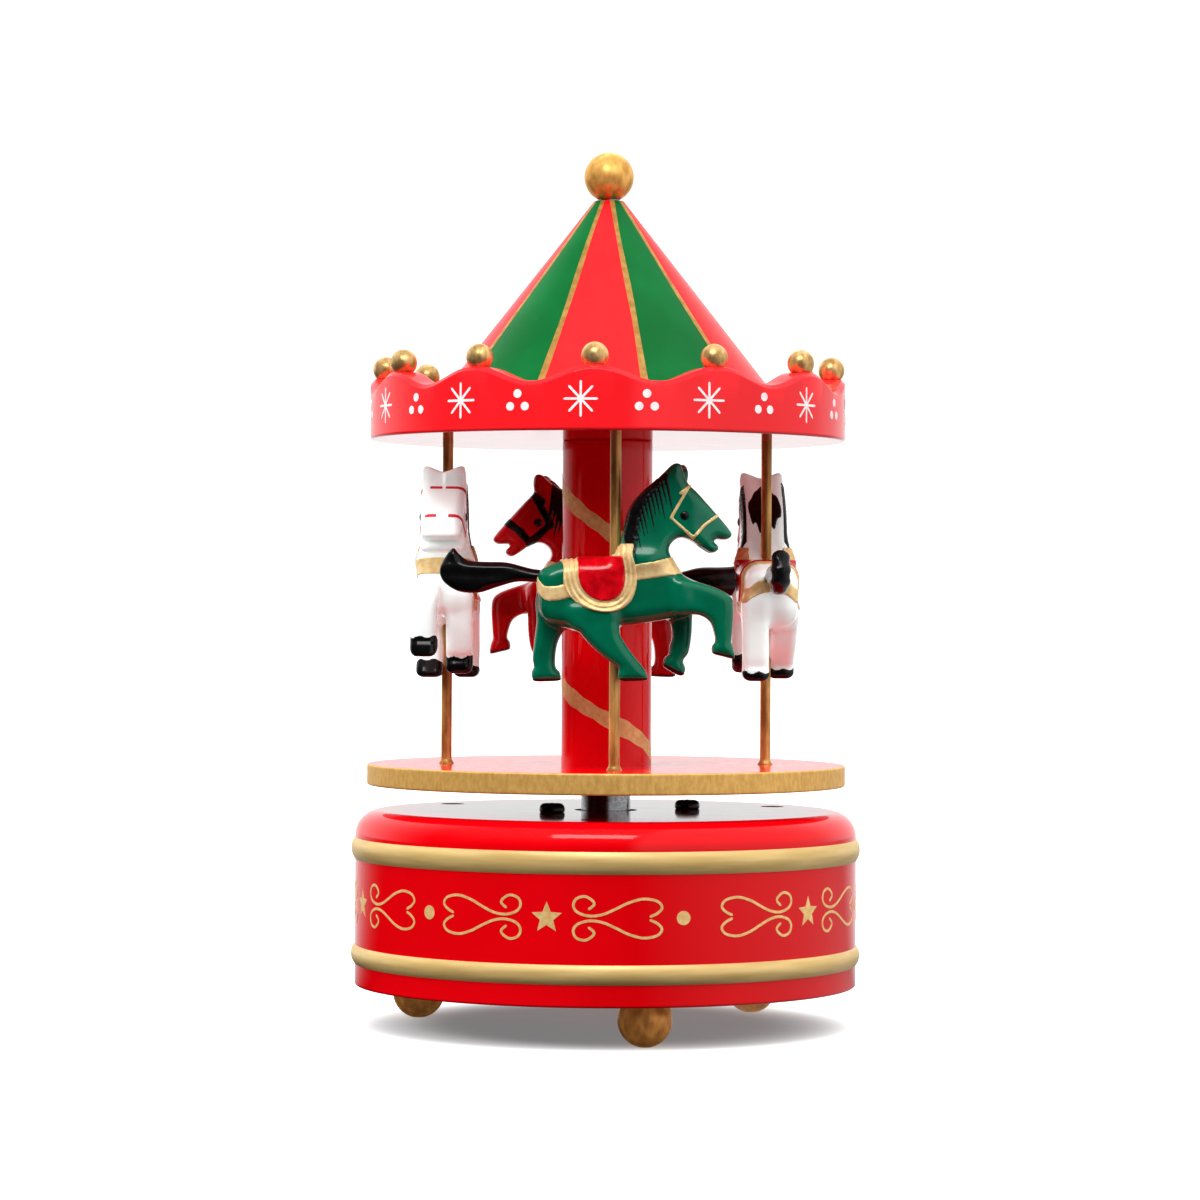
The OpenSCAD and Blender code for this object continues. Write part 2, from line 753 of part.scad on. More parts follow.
forward_hind_side = [[-8.6, 30], [-0.6, 29.6], [1, 26], [4, 21.3], [6, 18.2], [4.6, 17.3], [1.3, 17.3],
    [-3.4, 22.6], [-6.8, 26.2]];
back_hind_side = [[-14.4, 32], [-8.6, 31], [-9.4, 27], [-11.2, 22.4], [-11, 19], [-10.9, 17.4], [-15.2, 17.1],
    [-15.8, 19.4], [-15.5, 24]];
tail_side = [[-13.6, 36], [-13.8, 38.6], [-17.8, 39.1], [-23, 39.9], [-28, 40.2], [-31, 42.3], [-32.9, 40.4],
    [-33.5, 38.2], [-32.6, 35.9], [-29.3, 34], [-25, 34.2], [-19.2, 36]];
saddle_side = [[-9.4, 39.4], [-8.4, 34], [-2.4, 31], [2.8, 34.6], [3.2, 38.4], [2, 42.8], [-3, 42],
    [-8.6, 41.6]];

module layer(side, near, far, steps = 4) {
    translate([0, -near, 0]) rotate([90, 0, 0]) linear_extrude(far - near) polygon(smooth_loop(side, steps));
}

module horse(k, paint) {
    body_half = 5;
    head_half = 3.8;
    leg_in = 0.5;
    leg_out = 6;
    color(paint) rotate([0, 0, pole_phase + 90 * k]) translate([0, -pole_circle_d / 2, deck_z]) difference() {
        union() {
            layer(body_side, -body_half, body_half);
            layer(head_side, -head_half, head_half);
            layer(saddle_side, -5.6, 5.6);
            layer(tail_side, -2.6, 2.6);
            layer(raised_fore_side, leg_in, leg_out);
            layer(folded_fore_side, -leg_out, -leg_in);
            layer(forward_hind_side, leg_in, leg_out);
            layer(back_hind_side, -leg_out, -leg_in);
        }
        rod(pole_d / 2 + fit, 10, 60);
    }
}

// ---------------------------------------------------------------- nodes

base_shell();
bottom_plate();
foot(foot_angles[0]);  // foot_front
foot(foot_angles[1]);  // foot_right
foot(foot_angles[2]);  // foot_left
foot_screws();
case_screws();
movement_screws();
bedplate();
arbor_bush();
spring_housing();
housing_screws();
mainspring();
comb();
comb_screws();
inner_bracket();
train_bracket();
idler_bracket();
governor_frame();
governor_screw();
cylinder_drum();
cylinder_shaft();
cylinder_pinion();
cylinder_wheel();
idler_shaft();
idler_pinion();
worm_wheel();
governor_worm();
governor_fan();
winding_arbor();
drive_wheel();
clutch_spring();
winding_hub();
platform();
column();
tie_rod();
pole(0);  // front_pole
pole(1);  // right_pole
pole(2);  // rear_pole
pole(3);  // left_pole
horse(0, "darkgreen");  // front_horse
horse(1, "white");  // right_horse
horse(2, "firebrick");  // rear_horse
horse(3, "white");  // left_horse
canopy_ring();
canopy_roof();
canopy_beads();
finial();
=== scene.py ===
"""Looks of a wind-up carousel music box around its CAD frame.

Blender works in metres. The shapes below are drawn in millimetres, in the CAD frame: +Z up, and the
viewer looks along +Y. Angles run from the front (-Y) towards +X, in degrees.
"""

import json
import math

import bpy
import numpy as np
from mathutils import Matrix, Vector


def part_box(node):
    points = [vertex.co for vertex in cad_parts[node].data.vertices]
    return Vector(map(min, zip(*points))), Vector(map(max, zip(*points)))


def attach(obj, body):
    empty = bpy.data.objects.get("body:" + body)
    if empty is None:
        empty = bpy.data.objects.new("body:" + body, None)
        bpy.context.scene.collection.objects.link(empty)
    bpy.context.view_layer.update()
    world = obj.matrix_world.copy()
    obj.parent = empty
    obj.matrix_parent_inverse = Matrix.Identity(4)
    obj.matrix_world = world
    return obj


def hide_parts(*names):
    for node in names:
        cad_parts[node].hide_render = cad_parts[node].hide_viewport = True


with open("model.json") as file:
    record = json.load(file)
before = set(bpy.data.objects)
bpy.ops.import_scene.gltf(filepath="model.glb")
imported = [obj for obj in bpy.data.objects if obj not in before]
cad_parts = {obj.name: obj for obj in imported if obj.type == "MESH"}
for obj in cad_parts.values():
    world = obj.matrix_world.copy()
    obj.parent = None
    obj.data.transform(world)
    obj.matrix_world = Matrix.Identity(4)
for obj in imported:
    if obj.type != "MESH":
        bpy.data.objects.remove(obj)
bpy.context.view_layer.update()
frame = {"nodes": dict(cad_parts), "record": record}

MM = 0.001
TAU = 2 * math.pi


# -------- sizes from the frame, in millimetres

def box_mm(node):
    low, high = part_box(node)
    return low / MM, high / MM


BAND_BULGE = 0.7
base_low, base_high = box_mm("base_shell")
base_r = base_high.x - BAND_BULGE
base_z, top_z = base_low.z, base_high.z
platform_low, platform_high = box_mm("platform")
platform_r = platform_high.x
deck_z = platform_high.z
column_high = box_mm("column")[1]
column_r, column_top = column_high.x, column_high.z
ring_low, ring_high = box_mm("canopy_ring")
ring_r = ring_high.x
ring_z, crest_z = ring_low.z, ring_high.z
roof_low, roof_high = box_mm("canopy_roof")
roof_r = roof_high.x
roof_z, roof_top = roof_low.z, roof_high.z
pole_low, pole_high = box_mm("front_pole")
pole_at = (pole_low + pole_high) / 2
pole_circle_r = math.hypot(pole_at.x, pole_at.y)
pole_phase = math.degrees(math.atan2(pole_at.x, -pole_at.y))


# -------- shader nodes

class Net:
    """The node tree of a material or a world. An input may be a plain value, a node or one of its outputs."""

    def __init__(self, owner):
        owner.use_nodes = True
        self.nodes, self.links = owner.node_tree.nodes, owner.node_tree.links

    def fill(self, node, inputs):
        """Sets or links a node's inputs, given by name or number."""
        for socket, value in inputs.items():
            if isinstance(value, bpy.types.Node):
                value = value.outputs[0]
            if isinstance(value, bpy.types.NodeSocket):
                self.links.new(value, node.inputs[socket])
            else:
                node.inputs[socket].default_value = value

    def add(self, kind, inputs=None, **settings):
        node = self.nodes.new("ShaderNode" + kind)
        for name, value in settings.items():
            setattr(node, name, value)
        self.fill(node, inputs or {})
        return node

    def ramp(self, value, start, end, low, high, shape="SMOOTHSTEP"):
        """Runs from low to high while the value runs from start to end."""
        limits = {"From Min": start, "From Max": end, "To Min": low, "To Max": high}
        return self.add("MapRange", {"Value": value, **limits}, interpolation_type=shape)

    def largest(self, first, *others):
        for other in others:
            first = self.add("Math", {0: first, 1: other}, operation="MAXIMUM")
        return first

    def by_ray(self, camera, gloss, light):
        """Shows one shader to the camera, one to glossy rays and one to all others."""
        rays = self.add("LightPath").outputs
        unseen = self.add("MixShader", {0: rays["Is Glossy Ray"], 1: light, 2: gloss})
        return self.add("MixShader", {0: rays["Is Camera Ray"], 1: unseen, 2: camera})


# -------- materials

COAT_ROUGHNESS = 0.03
MOTTLE_SPREAD = (0.35, 0.65)
SUBSURFACE_RADIUS = (1.0, 0.8, 0.7)
SUBSURFACE_DEPTH = 1.2


def linear(colour):
    """Scene-linear colour, with alpha, of an sRGB colour given from 0 to 255."""
    parts = (v / 255 for v in colour)
    return [v / 12.92 if v <= 0.04045 else ((v + 0.055) / 1.055) ** 2.4 for v in parts] + [1]


def paint(name, colour, other, patch, roughness, grain, depth, stretch=(1, 1, 1), metallic=0.0,
          specular=0.5, coat=0.0, subsurface=0.0, painted_glow=0.0):
    """A material of two mottled sRGB colours with uneven gloss and a fine bump. Patch and grain are the sizes
    of the mottling and of the bump, depth is the bump's height, all in millimetres. Stretch scales the
    pattern along each axis. Glow is painted light: an emission that makes a part brighter than the lamps
    light it."""
    made = bpy.data.materials.new(name)
    net = Net(made)
    place = net.add("Mapping", {"Vector": net.add("TexCoord").outputs["Object"], "Scale": stretch})
    mottle = net.add("TexNoise", {"Vector": place, "Scale": 1 / (patch * MM), "Detail": 3})
    share = net.ramp(mottle, *MOTTLE_SPREAD, 0, 1, shape="LINEAR")
    tint = net.add("Mix", {0: share, 6: linear(colour), 7: linear(other)}, data_type="RGBA").outputs[2]
    fine = net.add("TexNoise", {"Vector": place, "Scale": 1 / (grain * MM), "Detail": 4})
    net.fill(net.nodes["Principled BSDF"], {
        "Base Color": tint,
        "Roughness": net.ramp(fine, 0, 1, *roughness, shape="LINEAR"),
        "Normal": net.add("Bump", {"Height": fine, "Distance": depth * MM}),
        "Metallic": metallic,
        "Specular IOR Level": specular,
        "Coat Weight": coat,
        "Coat Roughness": COAT_ROUGHNESS,
        "Subsurface Weight": subsurface,
        "Subsurface Radius": SUBSURFACE_RADIUS,
        "Subsurface Scale": SUBSURFACE_DEPTH * MM,
        "Emission Strength": painted_glow,
        **({"Emission Color": tint} if painted_glow else {}),
    })
    return made


BRUSHED = (1, 1, 0.5)

# Each finish has two colours, then patch, roughness, grain, depth and what else it needs.
# Plastics and lacquer
# The base, column and ring are one red plastic. The base's copy is darker, painted shade; the ring's is
# lighter and pinker, and its extra lightness is painted light.
base_plastic_shaded = paint("base_plastic_shaded", (219, 3, 18), (210, 3, 15), 30, (0.05, 0.11), 6, 0.006)
column_plastic = paint("column_plastic", (240, 4, 22), (230, 4, 18), 20, (0.06, 0.12), 5, 0.006)
ring_plastic_lit = paint("ring_plastic_lit", (238, 38, 46), (228, 34, 42), 24, (0.06, 0.12), 5, 0.006)
inner_plastic = paint("inner_plastic", (200, 14, 26), (182, 8, 20), 12, (0.3, 0.45), 0.6, 0.02)
lacquer = paint("lacquer", (240, 4, 22), (205, 10, 22), 9, (0.08, 0.2), 2.2, 0.02)
roof_green = paint("roof_green", (0, 102, 48), (0, 92, 40), 14, (0.2, 0.3), 3, 0.012, specular=0.16)
roof_red = paint("roof_red", (226, 16, 26), (216, 13, 22), 14, (0.2, 0.3), 3, 0.012, specular=0.3)

# Gold paints
band_gold = paint("band_gold", (216, 188, 130), (200, 170, 110), 3, (0.3, 0.45), 0.6, 0.008,
                  stretch=(0.2, 0.2, 2), metallic=0.25)
edge_gold = paint("edge_gold", (232, 188, 112), (214, 168, 94), 0.8, (0.35, 0.6), 0.35, 0.04,
                  stretch=BRUSHED, metallic=0.4)
print_gold = paint("print_gold", (242, 208, 148), (226, 186, 122), 1, (0.35, 0.55), 0.2, 0.008, metallic=0.3)
line_gold = paint("line_gold", (180, 144, 76), (156, 116, 56), 1.6, (0.3, 0.45), 0.3, 0.01, metallic=0.4)
trim_gold = paint("trim_gold", (252, 224, 170), (236, 200, 140), 1.2, (0.25, 0.42), 0.5, 0.02, metallic=0.35)
ball_gold = paint("ball_gold", (244, 196, 112), (206, 154, 78), 1.4, (0.28, 0.48), 0.5, 0.03,
                  stretch=BRUSHED, metallic=0.5)
bead_gold = paint("bead_gold", (246, 210, 148), (190, 150, 92), 1.2, (0.25, 0.42), 0.4, 0.03,
                  stretch=BRUSHED, metallic=0.75)
# The feet's glow is painted light: it brightens them where the base shades them.
foot_gold = paint("foot_gold", (232, 164, 90), (186, 124, 62), 1.6, (0.28, 0.48), 0.5, 0.03, stretch=BRUSHED,
                  metallic=0.35, painted_glow=0.16)

# Metals
pole_metal = paint("pole_metal", (236, 190, 116), (172, 126, 68), 2, (0.25, 0.42), 0.3, 0.01,
                   stretch=(1, 1, 0.25), metallic=0.5)
zinc = paint("zinc", (226, 230, 232), (180, 184, 186), 0.6, (0.1, 0.25), 0.2, 0.015, stretch=(1, 1, 3),
             metallic=0.9)
steel = paint("steel", (188, 188, 192), (150, 150, 156), 2, (0.2, 0.36), 0.25, 0.006, stretch=(3, 1, 1),
              metallic=1)
brass = paint("brass", (206, 170, 96), (176, 138, 70), 2, (0.2, 0.36), 0.25, 0.006, metallic=1)
screw_black = paint("screw_black", (12, 12, 13), (34, 33, 34), 0.8, (0.2, 0.38), 0.3, 0.01, coat=0.2)

# Horses and prints
horse_green = paint("horse_green", (0, 111, 82), (0, 99, 72), 6, (0.12, 0.24), 1.6, 0.02, coat=0.4)
# The white horses' glow is painted light, making them brighter than the lamps light them.
horse_white = paint("horse_white", (242, 250, 248), (238, 244, 242), 6, (0.16, 0.28), 1.6, 0.02, coat=0.3,
                    subsurface=0.4, painted_glow=0.16)
horse_red = paint("horse_red", (196, 8, 20), (170, 4, 14), 6, (0.12, 0.24), 1.6, 0.02, coat=0.4)
black_paint = paint("black_paint", (12, 12, 13), (20, 19, 20), 2, (0.1, 0.22), 1, 0.02)
saddle_paint = paint("saddle_paint", (214, 10, 30), (176, 4, 18), 1.6, (0.08, 0.2), 1.1, 0.03, coat=0.5)
red_ink = paint("red_ink", (214, 20, 40), (235, 90, 100), 0.7, (0.25, 0.4), 0.3, 0.01)
white_ink = paint("white_ink", (250, 240, 240), (240, 215, 215), 0.8, (0.3, 0.45), 0.2, 0.004)


# -------- mesh helpers
# A shape is a pair: its vertices in millimetres and its faces.

SEGMENTS = 240
ON_AXIS = 1e-6
CORNER_HOLD = 0.25    # how far from a corner smooth shading is held
PRINT_UNDER = -0.03   # how deep a print reaches under the surface it lies on
PRINT_OVER = 0.035    # how far it stands proud


def shade(mesh, sharp):
    mesh.polygons.foreach_set("use_smooth", [True] * len(mesh.polygons))
    mesh.set_sharp_from_angle(angle=math.radians(sharp))


def object_of(name, shape):
    vertices, faces = shape
    mesh = bpy.data.meshes.new(name)
    mesh.from_pydata((np.asarray(vertices, float) * MM).tolist(), [], faces)
    made = bpy.data.objects.new(name, mesh)
    bpy.context.scene.collection.objects.link(made)
    return made


def add_piece(name, shape, paints, body, slot, stands_for=(), face_paint=None, sharp=35, place=None):
    """Makes a smooth-shaded piece of a shape. Its edges steeper than `sharp` stay crisp."""
    piece = object_of(name, shape)
    for each in paints:
        piece.data.materials.append(each)
    if face_paint is not None:
        piece.data.polygons.foreach_set("material_index", np.asarray(face_paint, np.int32))
    shade(piece.data, sharp)
    piece.data.update()
    if place is not None:
        piece.matrix_world = place
    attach(piece, body)
    if stands_for:
        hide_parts(*stands_for)
    return piece


def arc(r, z, radius, start, end, steps=8):
    """Points (r, z) of an arc in the cross-section, with angles in degrees from the +r direction."""
    angles = (math.radians(start + (end - start) * i / steps) for i in range(steps + 1))
    return [(r + radius * math.cos(a), z + radius * math.sin(a)) for a in angles]


def held(profile):
    """The same cross-section with points added just inside the ends of its long straight runs, so that
    smooth shading stays at the corners."""
    points = [profile[0]]
    for (r0, z0), (r1, z1) in zip(profile, profile[1:]):
        if not callable(z0) and not callable(z1):
            length = math.hypot(r1 - r0, z1 - z0)
            if length > 4 * CORNER_HOLD:
                share = CORNER_HOLD / length
                points += [(r0 + (r1 - r0) * t, z0 + (z1 - z0) * t) for t in (share, 1 - share)]
        points.append((r1, z1))
    return points


def around_axis(angle, r, z):
    """The point at an angle in radians from the front, r from the axis and z high."""
    return (r * math.sin(angle), -r * math.cos(angle), z)


def between(rows, loop=False):
    """Faces between rows of vertex numbers, each of which closes on itself or is one vertex repeated."""
    faces = []
    for low, high in zip(rows, rows[1:] + (rows[:1] if loop else [])):
        for i in range(len(low)):
            j = (i + 1) % len(low)
            face = list(dict.fromkeys((low[i], low[j], high[j], high[i])))
            if len(face) > 2:
                faces.append(face)
    return faces


def lathe(profile, segments=SEGMENTS, loop=False, first=0):
    """Turns a cross-section about Z, from an angle of `first` degrees. A height may be a function of the
    angle in radians. A cross-section that isn't a loop starts and ends on the axis."""
    vertices, rows = [], []
    angles = [math.radians(first) + TAU * i / segments for i in range(segments)]
    for r, z in held(profile):
        start = len(vertices)
        if r < ON_AXIS:
            vertices.append((0, 0, z))
            rows.append([start] * segments)
        else:
            vertices += [around_axis(a, r, z(a) if callable(z) else z) for a in angles]
            rows.append(range(start, start + segments))
    return vertices, between(rows, loop)


def moved(shape, x, y, z=0):
    vertices, faces = shape
    return [(vx + x, vy + y, vz + z) for vx, vy, vz in vertices], faces


def joined(shapes):
    vertices, faces = [], []
    for shape_vertices, shape_faces in shapes:
        shift = len(vertices)
        vertices += list(shape_vertices)
        faces += [[i + shift for i in face] for face in shape_faces]
    return vertices, faces


def ball(radius, flat_z=None, steps=40):
    """Cross-section of a ball round the origin, cut flat at flat_z."""
    start = -90 if flat_z is None else math.degrees(math.asin(flat_z / radius))
    flat = [] if flat_z is None else [(0, flat_z)]
    return flat + arc(0, 0, radius, start, 90, steps)[:-1] + [(0, radius)]


def distances(path):
    """How far along a path each of its points lies."""
    return np.concatenate([[0], np.cumsum(np.linalg.norm(np.diff(path, axis=0), axis=1))])


def resampled(points, step):
    """The same open line with points an even `step` apart."""
    points = np.asarray(points, float)
    along = distances(points)
    marks = np.linspace(0, along[-1], max(2, int(along[-1] / step) + 1))
    return np.stack([np.interp(marks, along, values) for values in points.T], axis=1)


def spline(points, steps=6, loop=False):
    """Catmull-Rom curve through the points."""
    p = np.asarray(points, float)
    if loop:
        before, here, after, beyond = (np.roll(p, shift, 0) for shift in (1, 0, -1, -2))
    else:
        full = np.vstack([2 * p[0] - p[1], p, 2 * p[-1] - p[-2]])
        before, here, after, beyond = full[:-3], full[1:-2], full[2:-1], full[3:]
    t = (np.arange(steps) / steps)[None, :, None]
    a, b, c, d = (q[:, None, :] for q in (before, here, after, beyond))
    square, cube = 2 * a - 5 * b + 4 * c - d, 3 * b - a - 3 * c + d
    curve = 0.5 * (2 * b + (c - a) * t + square * t ** 2 + cube * t ** 3)
    curve = curve.reshape(-1, curve.shape[-1])
    return curve if loop else np.vstack([curve, p[-1:]])


def uneven(x, *waves):
    """Unevenness of work done by hand, along x: a sum of waves, each (height, rate, start)."""
    return sum(height * np.sin(x * rate + start) for height, rate, start in waves)


def ribbon(path, widths, place, lift=0.0):
    """A thin closed strip along a path of points (s, h). place(s, h, lift) puts a point in space."""
    path = np.asarray(path, float)
    way = np.gradient(path, axis=0)
    way /= np.maximum(np.linalg.norm(way, axis=1, keepdims=True), 1e-9)
    side = np.stack([-way[:, 1], way[:, 0]], axis=1) * (np.broadcast_to(widths, len(path)) / 2)[:, None]
    n = len(path)
    vertices = [place(s, h, lift + height) for height in (PRINT_OVER, PRINT_UNDER)
                for row in (path - side, path, path + side) for s, h in row]
    start_end = [[k, k + n, k + 4 * n, k + 3 * n] for k in (0, n)]
    faces = start_end + [[i + n - 1 for i in face[::-1]] for face in start_end]
    rim = (0, n, 2 * n, 5 * n, 4 * n, 3 * n)
    for a, b in zip(rim, rim[1:] + rim[:1]):
        faces += [[a + i, a + i + 1, b + i + 1, b + i] for i in range(n - 1)]
    return vertices, faces


def stroke(points, width, place, lift=0.0, step=0.25):
    """A ribbon of even width with round ends."""
    path = resampled(points, step)
    along = distances(path)
    to_end = np.minimum(np.minimum(along, along[-1] - along) / (width / 2), 1)
    return ribbon(path, width * np.sqrt(np.clip(1 - (1 - to_end) ** 2, 0.02, 1)), place, lift)


def plate(outline, centre, place):
    """A thin closed plate with a star-shaped outline round its centre."""
    outline, centre = np.asarray(outline, float), np.asarray(centre, float)
    n = len(outline)
    vertices = [place(*centre, PRINT_OVER)]
    for share, height in ((0.5, PRINT_OVER), (1, PRINT_OVER), (1, PRINT_UNDER)):
        vertices += [place(s, h, height) for s, h in centre + (outline - centre) * share]
    vertices.append(place(*centre, PRINT_UNDER))
    rows = [range(1 + k * n, 1 + (k + 1) * n) for k in (2, 1, 0)]
    return vertices, between([[1 + 3 * n] * n, *rows, [0] * n])


def disc(centre, radius, place, sides=28):
    turns = (TAU * i / sides for i in range(sides))
    outline = [(centre[0] + radius * math.cos(a), centre[1] + radius * math.sin(a)) for a in turns]
    return plate(outline, centre, place)


def on_wall(radius, degrees=0.0):
    """Wraps (arc length, height) on a cylinder, from an angle measured from the front."""
    return lambda s, h, lift: around_axis(math.radians(degrees) + s / radius, radius + lift, h)


# -------- base

BASE_WALL = 3.0
TOP_WALL = 2.6
SHOULDER_R = 5.0
INNER_ROUND = 3.0
RIM_ROUND = 0.4
HUB_HOLE_R, HUB_HOLE_EDGE = 6.0, 0.3
lower_band = (base_z + 6.15, 3.7)    # the height of its middle, and its width
upper_band = (top_z - 7.5, 4.2)
BAND_SKIN, BAND_SUNK = 0.05, 0.3


def band_profile(centre_z, height, lift=0.0, steps=14):
    """Cross-section of a raised band on the base's wall, from its lower edge up."""
    radius = (height ** 2 / 4 + BAND_BULGE ** 2) / (2 * BAND_BULGE)
    half = math.degrees(math.asin(height / 2 / radius))
    return arc(base_r + BAND_BULGE - radius, centre_z, radius + lift, -half, half, steps)


inner_r = base_r - BASE_WALL
ceiling_z = top_z - TOP_WALL
shell_profile = (
    arc(base_r - RIM_ROUND, base_z + RIM_ROUND, RIM_ROUND, -90, 0, 5)
    + band_profile(*lower_band)
    + band_profile(*upper_band)
    + arc(base_r - SHOULDER_R, top_z - SHOULDER_R, SHOULDER_R, 3, 90, 20)
    + [(HUB_HOLE_R + HUB_HOLE_EDGE, top_z), (HUB_HOLE_R, top_z - HUB_HOLE_EDGE), (HUB_HOLE_R, ceiling_z)]
    + arc(inner_r - INNER_ROUND, ceiling_z - INNER_ROUND, INNER_ROUND, 90, 0)
    + [(inner_r, base_z)]
)

# Posts hang from the top round the case screws, with a counterbore open at the top. The movement's screws
# pass the top itself.
CASE_SCREWS_R, FIRST_CASE_SCREW = 37.9, 116.2
MOVEMENT_SCREWS_NEAR = [(-10.6, -10.4), (16.4, 6.4), (0.5, 15)]    # x, y
SCREW_REACH = 4    # all of a screw's vertices lie this near its rough place
POST_R, COUNTERBORE_R, SCREW_HOLE_R = 4.0, 2.4, 1.3
post_z = base_z + 9.7
seat_z = base_z + 11.7
CUT_PAST = 1


def cut_holes(piece, posts, holes):
    """Adds round posts to a piece and cuts round holes in it: each is (x, y, radius, low z, high z)."""
    for operation, group in (("UNION", posts), ("DIFFERENCE", holes)):
        rods = (moved(lathe([(0, low), (r, low), (r, high), (0, high)], segments=48), x, y)
                for x, y, r, low, high in group)
        tool = object_of("tool", joined(rods))
        change = piece.modifiers.new("holes", "BOOLEAN")
        change.operation, change.object, change.solver = operation, tool, "EXACT"
        bpy.context.view_layer.update()
        depsgraph = bpy.context.evaluated_depsgraph_get()
        made = bpy.data.meshes.new_from_object(piece.evaluated_get(depsgraph))
        piece.modifiers.clear()
        piece.data = made
        bpy.data.objects.remove(tool)
    shade(piece.data, 30)


def screw_axes(node, near):
    """Places (x, y) of the screws in one node, found from its vertices round each rough place."""
    points = np.array([v.co for v in frame["nodes"][node].data.vertices])[:, :2] / MM
    for place in near:
        own = points[np.hypot(*(points - place).T) < SCREW_REACH]
        yield (own.min(0) + own.max(0)) / 2


case_angles = [math.radians(FIRST_CASE_SCREW + 120 * k) for k in range(3)]
case_axes = list(screw_axes("case_screws", [around_axis(a, CASE_SCREWS_R, 0)[:2] for a in case_angles]))
movement_axes = list(screw_axes("movement_screws", MOVEMENT_SCREWS_NEAR))
base_shell = add_piece("base_shell_skin", lathe(shell_profile, loop=True), [base_plastic_shaded], "base",
                       "red_gloss", ["base_shell"])
cut_holes(
    base_shell,
    [(*axis, POST_R, post_z, top_z - CUT_PAST) for axis in case_axes],
    [(*axis, COUNTERBORE_R, seat_z, top_z + CUT_PAST) for axis in case_axes]
    + [(*axis, SCREW_HOLE_R, post_z - CUT_PAST, seat_z + CUT_PAST) for axis in case_axes]
    + [(*axis, SCREW_HOLE_R, ceiling_z - CUT_PAST, top_z + CUT_PAST) for axis in movement_axes],
)

for name, band in (("lower", lower_band), ("upper", upper_band)):
    skin = band_profile(*band, lift=BAND_SKIN)
    inside = [(base_r - BAND_SUNK, z) for z in (skin[-1][1], skin[0][1])]
    add_piece(f"{name}_band", lathe(skin + inside, loop=True), [band_gold], "base", "gold_paint")

# Printed ornament: a star with four half scrolls and a dot, six times round the wall, with a seam
ORNAMENTS = 6
ORNAMENT_STEP = 59.3
ORNAMENT_SEAM = 4.4
FIRST_STAR = -12.7
STAR_R, STAR_INNER, STAR_POINTS = 3.1, 0.44, 5
DOT_AFTER_STAR, ORNAMENT_DOT_R = 29.8, 1.35
SCROLL_W = 0.52
SCROLL_LIFT = 0.002    # keeps strokes that cross apart
SCROLL = [(19.4, 0.25), (20.9, 0.95), (21.8, 2.0), (20.9, 3.2), (18.3, 3.65), (15.5, 2.95), (13.1, 1.8),
          (10.6, 0.75), (8.2, 0.45), (6.0, 1.05), (5.1, 2.25), (5.6, 3.6), (7.2, 4.1), (8.55, 3.45),
          (9.0, 2.6), (7.85, 1.6)]
ornament_z = (lower_band[0] + upper_band[0]) / 2 + 0.2


def star_outline():
    for i in range(2 * STAR_POINTS):
        r = STAR_R * (STAR_INNER if i % 2 else 1)
        angle = math.pi * i / STAR_POINTS
        yield r * math.sin(angle), ornament_z + r * math.cos(angle)


def base_ornament():
    scroll = spline(SCROLL, steps=8)
    for k in range(ORNAMENTS):
        wall = on_wall(base_r, FIRST_STAR + ORNAMENT_STEP * k + (ORNAMENT_SEAM if k else 0))
        yield plate(list(star_outline()), (0, ornament_z), wall)
        yield disc((math.radians(DOT_AFTER_STAR) * base_r, ornament_z), ORNAMENT_DOT_R, wall)
        for layer, mirror in enumerate(((1, 1), (1, -1), (-1, 1), (-1, -1))):
            yield stroke(scroll * mirror + (0, ornament_z), SCROLL_W, wall, lift=SCROLL_LIFT * layer)


add_piece("base_ornament", joined(base_ornament()), [print_gold], "base", "gold_print", sharp=60)

# Ball feet, cut flat where they stand and where they meet the base
FOOT_FLAT_R = 1.25
for node in ("foot_front", "foot_right", "foot_left"):
    low, high = box_mm(node)
    middle = (low + high) / 2
    radius = (high.x - low.x) / 2
    centre_z = low.z + math.sqrt(radius ** 2 - FOOT_FLAT_R ** 2)
    cut = high.z - centre_z
    profile = [point for point in ball(radius, flat_z=low.z - centre_z) if point[1] < cut]
    profile += [(math.sqrt(radius ** 2 - cut ** 2), cut), (0, cut)]
    foot = moved(lathe(profile, segments=72), middle.x, middle.y, centre_z)
    add_piece(f"{node}_ball", foot, [foot_gold], "base", "gold_paint", [node])


# -------- platform, column and poles

PLATFORM_ROUND = 0.35
platform_z = platform_low.z
platform_profile = (
    [(0, platform_z)]
    + arc(platform_r - PLATFORM_ROUND, platform_z + PLATFORM_ROUND, PLATFORM_ROUND, -90, 0, 5)
    + arc(platform_r - PLATFORM_ROUND, deck_z - PLATFORM_ROUND, PLATFORM_ROUND, 0, 90, 5)
    + [(0, deck_z)]
)
platform_shape = lathe(platform_profile)
gold_r = platform_r - 0.9 * PLATFORM_ROUND
on_edge = [math.hypot(x, y) > gold_r for x, y, z in platform_shape[0]]
gold_rim = [all(on_edge[i] for i in face) for face in platform_shape[1]]
add_piece("platform_disc", platform_shape, [lacquer, edge_gold], "carousel", "platform_lacquer",
          ["platform"], face_paint=gold_rim)

COLUMN_SUNK, COLUMN_ROUND = 0.2, 0.3
column_profile = (
    [(0, deck_z - COLUMN_SUNK), (column_r, deck_z - COLUMN_SUNK)]
    + arc(column_r - COLUMN_ROUND, column_top - COLUMN_ROUND, COLUMN_ROUND, 0, 90, 3)
    + [(0, column_top)]
)
add_piece("column_tube", lathe(column_profile, segments=144), [column_plastic], "carousel", "red_gloss",
          ["column"])

# Spiral ribbon on the column: (angle from the front in degrees, height of its middle)
RIBBON_W = 3.0
RIBBON_COURSE = [(-200, 120.2), (-64, 105.5), (64, 91.5), (180, 79.0), (296, 66.9), (424, 55.9), (500, 49.0)]
column_wall = on_wall(column_r)


def clipped_wall(s, h, lift):
    """The column's wall, with heights kept to its visible length."""
    return column_wall(s, min(max(h, deck_z), column_top), lift)


